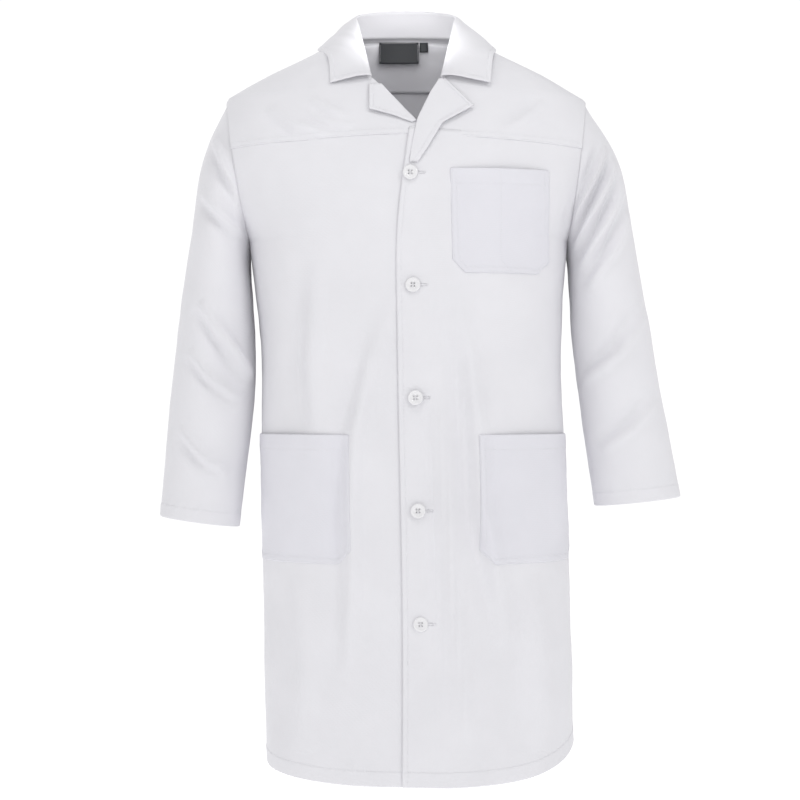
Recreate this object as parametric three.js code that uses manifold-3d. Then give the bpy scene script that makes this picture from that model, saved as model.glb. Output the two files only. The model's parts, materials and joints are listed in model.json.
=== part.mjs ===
// A buttoned cotton lab coat as it hangs on an unseen wearer.
// Units are millimetres. +Z is up, the front faces -Y and the wearer's left is +X.
// The origin is the nape: the middle of the back neck seam, where the wearer's neck carries the coat.
import * as THREE from 'three';
import Module from 'manifold-3d';
import { mergeVertices } from 'three/addons/utils/BufferGeometryUtils.js';

const wasm = await Module();
wasm.setup();

// ---------- driving dimensions ----------
const CLOTH = 1.0; // one layer of twill
const EASE = 0.5; // air between two layers that lie on each other
const FACET_GAP = 1.8; // between layers whose facets don't line up
const SEAM_GAP = 0.8; // between two panels that meet edge to edge
const BACK_LENGTH = 1040; // nape to hem
const HEM_RISE = { left: 36, right: 16 }; // how far the hem lifts at each side seam
const HEM_DRIFT = 20; // the hem hangs this far towards the wearer's left
const BODY_HALF_WIDTH = 214; // coat body at the hips
const SHOULDER_TIP = { x: 252, z: -100 };
const ARMPIT = { x: 224, z: -300 };
const ARMHOLE_HALF_DEPTH = 88;
const SQUARENESS = 2.4; // superellipse power of the body's section
const FRONT_YOKE_SEAM = { middle: -158, armhole: -175 };
const BACK_YOKE_SEAM = -150;

const OPENING_TOP = -162; // the fronts swing open below this level
const OPENING_FOLD = { top: 47, hem: 68 }; // where each front folds, out from its middle line
const BUTTON_LINE = 4; // buttons lie this far left of the body's middle line
const EDGE_TO_BUTTON = 22;
const BUTTON_COUNT = 5;
const FIRST_BUTTON = -216;
const BUTTON_PITCH = 151.5;
const BUTTON_DIAMETER = 20;
const BUTTON_THICKNESS = 3;
const BUTTON_HOLE_CIRCLE = 2.6;
const THREAD_DIAMETER = 4.4;
const BUTTONHOLE_CLEARANCE = 3.4; // room for the button to pass as the front swings

const CHEST_POCKET = { inner: 58, width: 134, top: -210, height: 140, chamfer: 17, side: 1 };
const LOWER_POCKET = { inner: 86, top: -569, height: 174, chamfer: 19 };
const POCKET_SIDE_GAP = 6; // lower pockets stop this far before the side seam
const POCKET_ROOM = 8; // space behind a pocket's mouth

const VENT_TOP = -720;
const VENT_WIDTH = 46;

const ELBOW_SHARE = 0.75; // where the elbow falls along the points of a sleeve's lines
const LABEL = { width: 57, height: 31, x: -10 };
const SIZE_LABEL = { width: 12, height: 14, x: 26 };
const LABEL_THICKNESS = 0.6;

const WHITE = 0xe9e9ef;
const POCKET_WHITE = 0xe2e2ea;
const BUTTON_WHITE = 0xf2f2f0;
const LABEL_BLACK = 0x17181c;

// ---------- the body's surface ----------
const { lerp, degToRad, clamp } = THREE.MathUtils;
const HEM_Z = -BACK_LENGTH;
const QUARTER = Math.PI / 2;

function profile(...stations) {
  const heights = stations.map((station) => station[0]);
  const values = stations.map((station) => station[1]);
  const curve = new THREE.CubicInterpolant(heights, values, 1);
  return (z) => curve.evaluate(z)[0];
}

const frontDepth = profile([HEM_Z, 163], [-500, 155], [-250, 148], [-170, 140], [-100, 112],
  [-67, 95], [-39, 75], [-14, 56]);
const backDepth = profile([HEM_Z, 156], [-700, 140], [-300, 132], [-170, 128], [-100, 112],
  [-67, 98], [-39, 82], [-14, 70], [0, 66]);
const shoulderWidth = profile([SHOULDER_TIP.z, SHOULDER_TIP.x], [-67, 195], [-39, 137],
  [-22, 105], [-14, 88], [0, 78]);
const bodyWidth = profile([HEM_Z, BODY_HALF_WIDTH + 3], [-600, BODY_HALF_WIDTH - 1],
  [-430, BODY_HALF_WIDTH - 2], [ARMPIT.z, ARMPIT.x]);

// The armhole is an ellipse in the tilted plane through the shoulder tip and the armpit.
function armholeX(z) {
  return lerp(ARMPIT.x, SHOULDER_TIP.x, (z - ARMPIT.z) / (SHOULDER_TIP.z - ARMPIT.z));
}

function armholeY(z) {
  const middle = (SHOULDER_TIP.z + ARMPIT.z) / 2;
  const reach = (SHOULDER_TIP.z - ARMPIT.z) / 2;
  return ARMHOLE_HALF_DEPTH * Math.sqrt(Math.max(0, 1 - ((z - middle) / reach) ** 2));
}

// Beside the armhole the section is as wide as it must be to pass through the armhole's edge.
function halfWidth(z, depth) {
  if (z >= SHOULDER_TIP.z) {
    return shoulderWidth(z);
  }
  if (z <= ARMPIT.z) {
    return bodyWidth(z);
  }
  const share = Math.pow(armholeY(z) / depth, SQUARENESS);
  return armholeX(z) / Math.pow(1 - share, 1 / SQUARENESS);
}

function drift(z) {
  return HEM_DRIFT * clamp((z - OPENING_TOP) / (HEM_Z - OPENING_TOP), 0, 1);
}

// angle 0 is the middle of the front, a quarter turn the left side, a half turn the middle back
function bodyPoint(angle, z) {
  const depth = Math.cos(angle) < 0 ? backDepth(z) : frontDepth(z);
  const power = 2 / SQUARENESS;
  const across = Math.sign(Math.sin(angle)) * Math.pow(Math.abs(Math.sin(angle)), power);
  const along = Math.sign(Math.cos(angle)) * Math.pow(Math.abs(Math.cos(angle)), power);
  return new THREE.Vector3(halfWidth(z, depth) * across + drift(z), -depth * along, z);
}

function onBody(angle, z, height) {
  const step = 0.01;
  const rise = 1.5;
  const top = Math.min(z + rise, 0);
  const around = bodyPoint(angle + step, z).sub(bodyPoint(angle - step, z));
  const up = bodyPoint(angle, top).sub(bodyPoint(angle, z - rise));
  const normal = around.cross(up).normalize();
  return bodyPoint(angle, z).addScaledVector(normal, height);
}

function frontAngle(x, z) {
  const share = Math.min(1, Math.abs(x) / halfWidth(z, frontDepth(z)));
  return Math.sign(x) * Math.asin(Math.pow(share, SQUARENESS / 2));
}

function backAngle(x, z) {
  const share = Math.min(1, Math.abs(x) / halfWidth(z, backDepth(z)));
  return Math.sign(x) * (Math.PI - Math.asin(Math.pow(share, SQUARENESS / 2)));
}

function hemHeight(angle) {
  const rise = angle > 0 ? HEM_RISE.left : HEM_RISE.right;
  return HEM_Z + rise * Math.pow(Math.abs(Math.sin(angle)), 4);
}

// ---------- making cloth ----------
const coat = new THREE.Group();

function add(name, geometry, color) {
  const material = new THREE.MeshStandardMaterial({ color, roughness: 0.85, metalness: 0 });
  const mesh = new THREE.Mesh(geometry, material);
  mesh.name = name;
  coat.add(mesh);
  return mesh;
}

// Splits each square of a box's back face along the same diagonal as its front face, so that a thin
// sheet keeps its thickness where its squares are skewed.
function matchDiagonals(geometry) {
  const { start, count } = geometry.groups[5];
  const index = geometry.index.array;
  for (let i = start; i < start + count; i += 6) {
    const [a, b, d, , c] = index.slice(i, i + 5);
    index.set([a, b, c, a, c, d], i);
  }
}

// A sheet is a box whose two wide faces are laid where place(u, v, w) says, w being 0 or 1.
function sheet(columns, rows, place) {
  const geometry = new THREE.BoxGeometry(1, 1, 1, columns, rows, 1);
  matchDiagonals(geometry);
  const position = geometry.attributes.position;
  for (let i = 0; i < position.count; i += 1) {
    const u = position.getX(i) + 0.5;
    const v = position.getY(i) + 0.5;
    const w = position.getZ(i) + 0.5;
    const point = place(u, v, w);
    position.setXYZ(i, point.x, point.y, point.z);
  }
  return geometry;
}

const fixed = (value) => () => value;

function levels(from, to, count) {
  const low = typeof from === 'function' ? from : fixed(from);
  const high = typeof to === 'function' ? to : fixed(to);
  return Array.from({ length: count }, (_, i) => (angle) => lerp(low(angle), high(angle), i / count));
}

// A panel lies on the body between two edges given as angles, on rows given as heights.
function panel({ from, to, rows, columns, inside, outside = inside + CLOTH }) {
  return sheet(columns, rows.length - 1, (u, v, w) => {
    const row = rows[Math.round(v * (rows.length - 1))];
    const roughHeight = row(lerp(from(ARMPIT.z), to(ARMPIT.z), u));
    const roughAngle = lerp(from(roughHeight), to(roughHeight), u);
    const z = row(roughAngle);
    return onBody(lerp(from(z), to(z), u), z, lerp(inside, outside, w));
  });
}

// The same panel on the left side or mirrored to the right one.
function bothWays(side, inner, outer) {
  if (side > 0) {
    return { from: inner, to: outer };
  }
  return { from: (z) => -outer(z), to: (z) => -inner(z) };
}

const LAYER = CLOTH + EASE;
const SEAM_ANGLE = SEAM_GAP / BODY_HALF_WIDTH;
const SIDES = { left: 1, right: -1 };
const ARMHOLE_MARGIN = 1.2; // panels stop this far inside the armhole's plane

function frontOuterEdge(z) {
  if (z <= ARMPIT.z || z >= SHOULDER_TIP.z) {
    return QUARTER - SEAM_ANGLE;
  }
  return Math.min(frontAngle(armholeX(z) - ARMHOLE_MARGIN, z), QUARTER - SEAM_ANGLE);
}

function backOuterEdge(z) {
  if (z <= ARMPIT.z || z >= SHOULDER_TIP.z) {
    return QUARTER + SEAM_ANGLE;
  }
  return Math.max(backAngle(armholeX(z) - ARMHOLE_MARGIN, z), QUARTER + SEAM_ANGLE);
}

function foldOffset(z) {
  return lerp(OPENING_FOLD.top, OPENING_FOLD.hem, (z - OPENING_TOP) / (HEM_Z - OPENING_TOP));
}

function frontYokeSeam(angle) {
  const share = Math.min(1, Math.abs(Math.sin(angle)));
  return lerp(FRONT_YOKE_SEAM.middle, FRONT_YOKE_SEAM.armhole, share);
}

// ---------- fronts ----------
function addFrontPanel(name, side) {
  const edges = bothWays(side, (z) => frontAngle(foldOffset(z) + SEAM_GAP, z), frontOuterEdge);
  const seam = (angle) => frontYokeSeam(angle) - SEAM_GAP;
  const rows = [...levels(hemHeight, ARMPIT.z, 9), ...levels(ARMPIT.z, seam, 4), seam];
  add(name, panel({ ...edges, rows, columns: 8, inside: 0 }), WHITE);
}

const overEdge = BUTTON_LINE - EDGE_TO_BUTTON;
const underEdge = BUTTON_LINE + EDGE_TO_BUTTON;
const OPENING_LAYERS = { rightFacing: -LAYER, rightFront: 0, leftFacing: LAYER, leftFront: 2 * LAYER };

// The strip of each front between its fold line and its buttoned edge.
function openingStrip(side, edge, inside, trim) {
  const top = OPENING_TOP - SEAM_GAP - trim;
  const innerEdge = (z) => side * (foldOffset(z) - trim);
  return sheet(5, 14, (u, v, w) => {
    const hem = HEM_Z + trim;
    const z = lerp(hem, top, v);
    const low = side > 0 ? edge + trim : innerEdge(z);
    const high = side > 0 ? innerEdge(z) : edge - trim;
    return onBody(frontAngle(lerp(low, high, u), z), z, lerp(inside, inside + CLOTH, w));
  });
}

const buttonHeights = Array.from({ length: BUTTON_COUNT }, (_, i) => FIRST_BUTTON - i * BUTTON_PITCH);

function facing(angle, z, height) {
  const place = onBody(angle, z, height);
  const normal = onBody(angle, z, height + 1).sub(place).normalize();
  const turn = new THREE.Quaternion().setFromUnitVectors(new THREE.Vector3(0, 0, 1), normal);
  return new THREE.Matrix4().compose(place, turn, new THREE.Vector3(1, 1, 1));
}

function solidOf(geometry) {
  const bare = geometry.clone();
  bare.deleteAttribute('normal');
  bare.deleteAttribute('uv');
  const merged = mergeVertices(bare, 1e-4);
  return new wasm.Manifold(new wasm.Mesh({
    numProp: 3,
    vertProperties: new Float32Array(merged.attributes.position.array),
    triVerts: new Uint32Array(merged.index.array),
  }));
}

function geometryOf(solid) {
  const mesh = solid.getMesh();
  const geometry = new THREE.BufferGeometry();
  geometry.setAttribute('position', new THREE.BufferAttribute(mesh.vertProperties, 3));
  geometry.setIndex(new THREE.BufferAttribute(mesh.triVerts, 1));
  geometry.computeVertexNormals();
  return geometry;
}

function cutButtonholes(strip) {
  const radius = BUTTON_DIAMETER / 2 + BUTTONHOLE_CLEARANCE;
  const depth = 8 * LAYER;
  let solid = solidOf(strip);
  for (const z of buttonHeights) {
    const plug = new THREE.CylinderGeometry(radius, radius, depth, 16).rotateX(QUARTER);
    plug.applyMatrix4(facing(frontAngle(BUTTON_LINE, z), z, 2 * LAYER));
    solid = solid.subtract(solidOf(plug));
  }
  return geometryOf(solid);
}

function addOpenings() {
  const layer = OPENING_LAYERS;
  const trim = 1.5;
  add('right_front_opening', openingStrip(-1, underEdge, layer.rightFront, 0), WHITE);
  add('right_facing', openingStrip(-1, underEdge, layer.rightFacing, trim), WHITE);
  add('left_front_opening', cutButtonholes(openingStrip(1, overEdge, layer.leftFront, 0)), WHITE);
  add('left_facing', cutButtonholes(openingStrip(1, overEdge, layer.leftFacing, trim)), WHITE);
}

// ---------- buttons ----------
function buttonShape() {
  const shape = new THREE.Shape();
  shape.absarc(0, 0, BUTTON_DIAMETER / 2, 0, 2 * Math.PI, false);
  for (let i = 0; i < 4; i += 1) {
    const angle = QUARTER * (i + 0.5);
    const hole = new THREE.Path();
    const x = BUTTON_HOLE_CIRCLE * Math.cos(angle);
    const y = BUTTON_HOLE_CIRCLE * Math.sin(angle);
    hole.absarc(x, y, 1, 0, 2 * Math.PI, true);
    shape.holes.push(hole);
  }
  return shape;
}

function addButtons() {
  const threadStart = CLOTH + EASE / 2;
  const buttonBack = 3 * LAYER + EASE;
  buttonHeights.forEach((z, i) => {
    const angle = frontAngle(BUTTON_LINE, z);
    const disc = new THREE.ExtrudeGeometry(buttonShape(), {
      depth: BUTTON_THICKNESS,
      bevelEnabled: false,
      curveSegments: 10,
    });
    disc.applyMatrix4(facing(angle, z, buttonBack));
    add(`button_${i + 1}`, disc, BUTTON_WHITE);
    const length = buttonBack - EASE / 2 - threadStart;
    const shank = new THREE.CylinderGeometry(THREAD_DIAMETER / 2, THREAD_DIAMETER / 2, length, 10);
    shank.rotateX(QUARTER);
    shank.applyMatrix4(facing(angle, z, threadStart + length / 2));
    add(`button_thread_${i + 1}`, shank, BUTTON_WHITE);
  });
}

// ---------- yokes and back ----------
// The neck seam on each front: [out from the middle, height], from the shoulder to the V's foot.
const NECK_SEAM = [[88, -14], [80, -40], [62, -70], [40, -99], [10, -148]];

function neckSeamX(z) {
  const next = Math.max(1, NECK_SEAM.findIndex((point) => point[1] <= z));
  const [x0, z0] = NECK_SEAM[next - 1];
  const [x1, z1] = NECK_SEAM[next];
  return z < NECK_SEAM.at(-1)[1] ? NECK_SEAM.at(-1)[0] : lerp(x0, x1, (z - z0) / (z1 - z0));
}

function addFrontYoke(name, side) {
  const edges = bothWays(side, (z) => frontAngle(neckSeamX(z), z), frontOuterEdge);
  const top = NECK_SEAM[0][1] - 4;
  const rows = [
    ...levels(frontYokeSeam, SHOULDER_TIP.z, 3),
    ...levels(SHOULDER_TIP.z, top, 5),
    fixed(top),
  ];
  add(name, panel({ ...edges, rows, columns: 9, inside: 0 }), WHITE);
}

function backNeckHeight(angle) {
  return lerp(NECK_SEAM[0][1], -2, Math.pow(Math.abs(Math.cos(angle)), 2));
}

function signedBackEdge(side) {
  return (z) => (side > 0 ? backOuterEdge(z) : 2 * Math.PI - backOuterEdge(z));
}

function addBackYoke() {
  const rows = [
    ...levels(BACK_YOKE_SEAM, SHOULDER_TIP.z, 2),
    ...levels(SHOULDER_TIP.z, backNeckHeight, 5),
    backNeckHeight,
  ];
  const edges = { from: signedBackEdge(1), to: signedBackEdge(-1) };
  add('back_yoke', panel({ ...edges, rows, columns: 20, inside: 0 }), WHITE);
}

function addBackPanel(name, side) {
  const blend = 8;
  const ventEdge = (z) => backAngle(VENT_WIDTH + SEAM_GAP, z);
  const middle = (z) => {
    const seam = Math.PI - SEAM_ANGLE;
    const closed = clamp((z - VENT_TOP) / blend, 0, 1);
    return side > 0 ? lerp(ventEdge(z), seam, closed) : seam;
  };
  const top = BACK_YOKE_SEAM - SEAM_GAP;
  const rows = [
    ...levels(hemHeight, VENT_TOP, 4),
    fixed(VENT_TOP),
    ...levels(VENT_TOP + blend, ARMPIT.z, 6),
    ...levels(ARMPIT.z, top, 4),
    fixed(top),
  ];
  const edges = bothWays(side, backOuterEdge, middle);
  add(name, panel({ ...edges, rows, columns: 8, inside: 0 }), WHITE);
}

// The vent's upper flap carries on from the left back and laps over the right back.
function addVentFlap() {
  const lap = 12;
  const flap = sheet(4, 5, (u, v, w) => {
    const z = lerp(HEM_Z, VENT_TOP - SEAM_GAP, v);
    const x = lerp(VENT_WIDTH, -lap, u);
    return onBody(x > 0 ? backAngle(x, z) : 2 * Math.PI + backAngle(x - 0.01, z), z,
      lerp(LAYER, LAYER + CLOTH, w));
  });
  add('back_vent_flap', flap, WHITE);
}

function addBackNeckFacing() {
  const depth = 70;
  const spread = degToRad(52);
  const rows = [...levels(-depth, (angle) => backNeckHeight(angle) - 2, 4)];
  rows.push((angle) => backNeckHeight(angle) - 2);
  const edges = { from: fixed(Math.PI - spread), to: fixed(Math.PI + spread) };
  const inside = -FACET_GAP - CLOTH;
  add('back_neck_facing', panel({ ...edges, rows, columns: 10, inside }), WHITE);
}

// ---------- collar and lapels ----------
// The points run from the middle back to the left front; the curve adds their mirror image.
function mirrored(points) {
  const leftHalf = [...points].reverse();
  const rightHalf = points.slice(1).map((point) => new THREE.Vector3(-point.x, point.y, point.z));
  return new THREE.CatmullRomCurve3([...leftHalf, ...rightHalf]);
}

function onFront(x, z, height) {
  return onBody(frontAngle(x, z), z, height);
}

const STAND_BASE_LIFT = 2.5; // the collar's stand starts this far above the neck seam
const neckLine = mirrored([
  new THREE.Vector3(0, 65, STAND_BASE_LIFT),
  new THREE.Vector3(48, 50, STAND_BASE_LIFT - 3),
  new THREE.Vector3(82, 10, STAND_BASE_LIFT - 12),
  new THREE.Vector3(80, -28, STAND_BASE_LIFT - 24),
  onFront(66, -62, STAND_BASE_LIFT + 2),
  onFront(50, -84, STAND_BASE_LIFT + 2),
]);
const foldLine = mirrored([
  new THREE.Vector3(0, 52, 40),
  new THREE.Vector3(42, 40, 36),
  new THREE.Vector3(68, 6, 24),
  new THREE.Vector3(66, -32, 4),
  new THREE.Vector3(57, -70, -36),
  onFront(46, -80, 11),
]);
const LEAF_CLEARANCE = 5;
const leafEdge = mirrored([
  onBody(Math.PI, -24, LEAF_CLEARANCE),
  onBody(degToRad(145), -27, LEAF_CLEARANCE),
  onBody(degToRad(95), -30, LEAF_CLEARANCE),
  onFront(122, -58, LEAF_CLEARANCE),
  onFront(117, -90, LEAF_CLEARANCE),
]);

function ruledSheet(columns, rows, low, high, thickness, lift, bulge = 0) {
  const surface = (u, v) => low.getPoint(u).lerp(high.getPoint(u), v);
  return sheet(columns, rows, (u, v, w) => {
    const step = 0.004;
    const along = surface(Math.min(1, u + step), v).sub(surface(Math.max(0, u - step), v));
    const up = surface(u, Math.min(1, v + step)).sub(surface(u, Math.max(0, v - step)));
    const normal = along.cross(up).normalize();
    const height = lift + thickness * w + bulge * Math.sin(Math.PI * v);
    return surface(u, v).addScaledVector(normal, height);
  });
}

function addCollar() {
  add('collar_stand', ruledSheet(24, 2, neckLine, foldLine, CLOTH, 0), WHITE);
  const roll = 3; // the leaf turns over this far outside the stand
  const leaf = ruledSheet(24, 5, leafEdge, foldLine, 2 * CLOTH, roll, 3);
  add('collar_leaf', leaf, WHITE);
}

const LAPEL_TOP = -95;
const LAPEL_FOOT = -158;
const rollLine = profile([LAPEL_FOOT, 8], [-120, 24], [LAPEL_TOP, 44]);
const LAPEL_OUTLINES = {
  left: profile([LAPEL_FOOT, 36], [-143, 56], [-126, 86], [-116, 84], [LAPEL_TOP, 66]),
  right: profile([LAPEL_FOOT, 18], [-148, 24], [-132, 50], [-112, 52], [LAPEL_TOP, 50]),
};

function addLapel(name, side, outline) {
  const edges = bothWays(side, (z) => frontAngle(rollLine(z), z), (z) => frontAngle(outline(z), z));
  const rows = [...levels(LAPEL_FOOT, LAPEL_TOP, 6), fixed(LAPEL_TOP)];
  add(name, panel({ ...edges, rows, columns: 4, inside: LAYER, outside: LAYER + 2 * CLOTH }), WHITE);
}

// ---------- pockets ----------
function pocketInset(z, pocket) {
  const above = z - (pocket.top - pocket.height);
  return Math.max(0, pocket.chamfer - above);
}

function addPocket(name, side, pocket, outerAngle) {
  const { top, height, chamfer } = pocket;
  const bottom = top - height;
  const heights = [bottom, bottom + chamfer, ...[0.25, 0.5, 0.75, 1].map(
    (share) => lerp(bottom + chamfer, top, share))];
  const cloth = sheet(10, heights.length - 1, (u, v, w) => {
    const z = heights[Math.round(v * (heights.length - 1))];
    const inner = frontAngle(pocket.inner + pocketInset(z, pocket), z);
    const outer = outerAngle(z);
    const share = side > 0 ? u : 1 - u;
    const room = POCKET_ROOM * Math.sin(Math.PI * share) * clamp((z - bottom) / height, 0, 1);
    return onBody(side * lerp(inner, outer, share), z, CLOTH + FACET_GAP + room + CLOTH * w);
  });
  add(name, cloth, POCKET_WHITE);
}

function addPockets() {
  const chestOuter = (z) => frontAngle(
    CHEST_POCKET.inner + CHEST_POCKET.width - pocketInset(z, CHEST_POCKET), z);
  addPocket('chest_pocket', CHEST_POCKET.side, CHEST_POCKET, chestOuter);
  const lowerOuter = (z) => QUARTER - (POCKET_SIDE_GAP + pocketInset(z, LOWER_POCKET)) / 150;
  addPocket('left_lower_pocket', 1, LOWER_POCKET, lowerOuter);
  addPocket('right_lower_pocket', -1, LOWER_POCKET, lowerOuter);
}

// ---------- sleeves ----------
// Each line runs from the armhole to the cuff: [out from the body's half width, height].
const SLEEVES = {
  left: {
    outer: [[85, -183], [107, -294], [139, -478], [171, -657]],
    inner: [[15, -330], [18, -380], [24, -470], [52, -670]],
  },
  right: {
    outer: [[73, -183], [90, -294], [114, -478], [131, -684]],
    inner: [[7, -330], [3, -390], [-2, -488], [21, -699]],
  },
};
const SLEEVE_HALF_DEPTH = { armhole: ARMHOLE_HALF_DEPTH, upper: 78, elbow: 66, cuff: 48 };
const CUFF_FORWARD = 26; // the cuff hangs this far in front of the shoulder
const ARMHOLE_GAP = 1.6; // the sleeve starts this far outside the armhole's plane
const ELBOW_GAP = 0.004; // share of the sleeve left open at the elbow

function sleeveLine(side, start, points) {
  const first = new THREE.Vector3(start.x + ARMHOLE_GAP + side * drift(start.z), 0, start.z);
  const rest = points.map(([out, z]) => new THREE.Vector3(BODY_HALF_WIDTH + out, 0, z));
  return new THREE.CatmullRomCurve3([first, ...rest]);
}

function sleeveTube(side, lines, start, end, rings) {
  const outer = sleeveLine(side, SHOULDER_TIP, lines.outer);
  const inner = sleeveLine(side, ARMPIT, lines.inner);
  const depth = SLEEVE_HALF_DEPTH;
  const halfDepth = profile([0, depth.armhole], [0.45, depth.upper], [ELBOW_SHARE, depth.elbow],
    [1, depth.cuff]);
  const wall = [];
  for (let i = 0; i <= rings; i += 1) {
    wall.push(new THREE.Vector2(2, i / rings));
  }
  for (let i = rings; i >= 0; i -= 1) {
    wall.push(new THREE.Vector2(1, i / rings));
  }
  wall.push(wall[0].clone());
  const geometry = new THREE.LatheGeometry(wall, 18);
  const position = geometry.attributes.position;
  for (let i = 0; i < position.count; i += 1) {
    const around = Math.atan2(position.getX(i), position.getZ(i));
    const radius = Math.hypot(position.getX(i), position.getZ(i));
    const share = lerp(start, end, position.getY(i));
    const inset = (2 - radius) * CLOTH;
    const far = outer.getPoint(share);
    const near = inner.getPoint(share);
    const middle = far.clone().add(near).multiplyScalar(0.5);
    const arm = far.sub(near).multiplyScalar(0.5);
    arm.setLength(arm.length() - inset);
    middle.addScaledVector(arm, Math.cos(around));
    const forward = CUFF_FORWARD * share * share;
    const y = -side * Math.sin(around) * (halfDepth(share) - inset) - forward;
    position.setXYZ(i, side * middle.x, y, middle.z);
  }
  return geometry;
}

function addSleeve(name, side, lines) {
  const upper = sleeveTube(side, lines, 0, ELBOW_SHARE - ELBOW_GAP, 9);
  const lower = sleeveTube(side, lines, ELBOW_SHARE + ELBOW_GAP, 1, 6);
  add(`${name}_upper_sleeve`, upper, WHITE);
  add(`${name}_lower_sleeve`, lower, WHITE);
}

// ---------- labels inside the back neck ----------
function addLabel(name, label, color) {
  const top = -4;
  const corner = Math.abs(label.x) + label.width / 2;
  const inside = -2 * FACET_GAP - CLOTH;
  const back = onBody(backAngle(corner, top), top, inside).y;
  const box = new THREE.BoxGeometry(label.width, LABEL_THICKNESS, label.height);
  const mesh = add(name, box, color);
  mesh.position.set(label.x, back - LABEL_THICKNESS / 2, top - label.height / 2);
}

// ---------- the whole coat ----------
for (const [name, side] of Object.entries(SIDES)) {
  addFrontPanel(`${name}_front_panel`, side);
  addFrontYoke(`${name}_front_yoke`, side);
  addBackPanel(`${name}_back_panel`, side);
  addLapel(`${name}_lapel`, side, LAPEL_OUTLINES[name]);
  addSleeve(name, side, SLEEVES[name]);
}
addOpenings();
addButtons();
addBackYoke();
addVentFlap();
addBackNeckFacing();
addCollar();
addPockets();
addLabel('neck_label', LABEL, LABEL_BLACK);
addLabel('size_label', SIZE_LABEL, WHITE);

export default coat;
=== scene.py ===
"""A buttoned white lab coat as it hangs on an unseen wearer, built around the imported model.

Lengths are millimetres until a mesh is made, which is in metres. +Z is up, the front faces -Y and
the wearer's left is +X. Angles go round the body: 0 is the middle front, a quarter turn the left side.
"""

import json
import math

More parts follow.
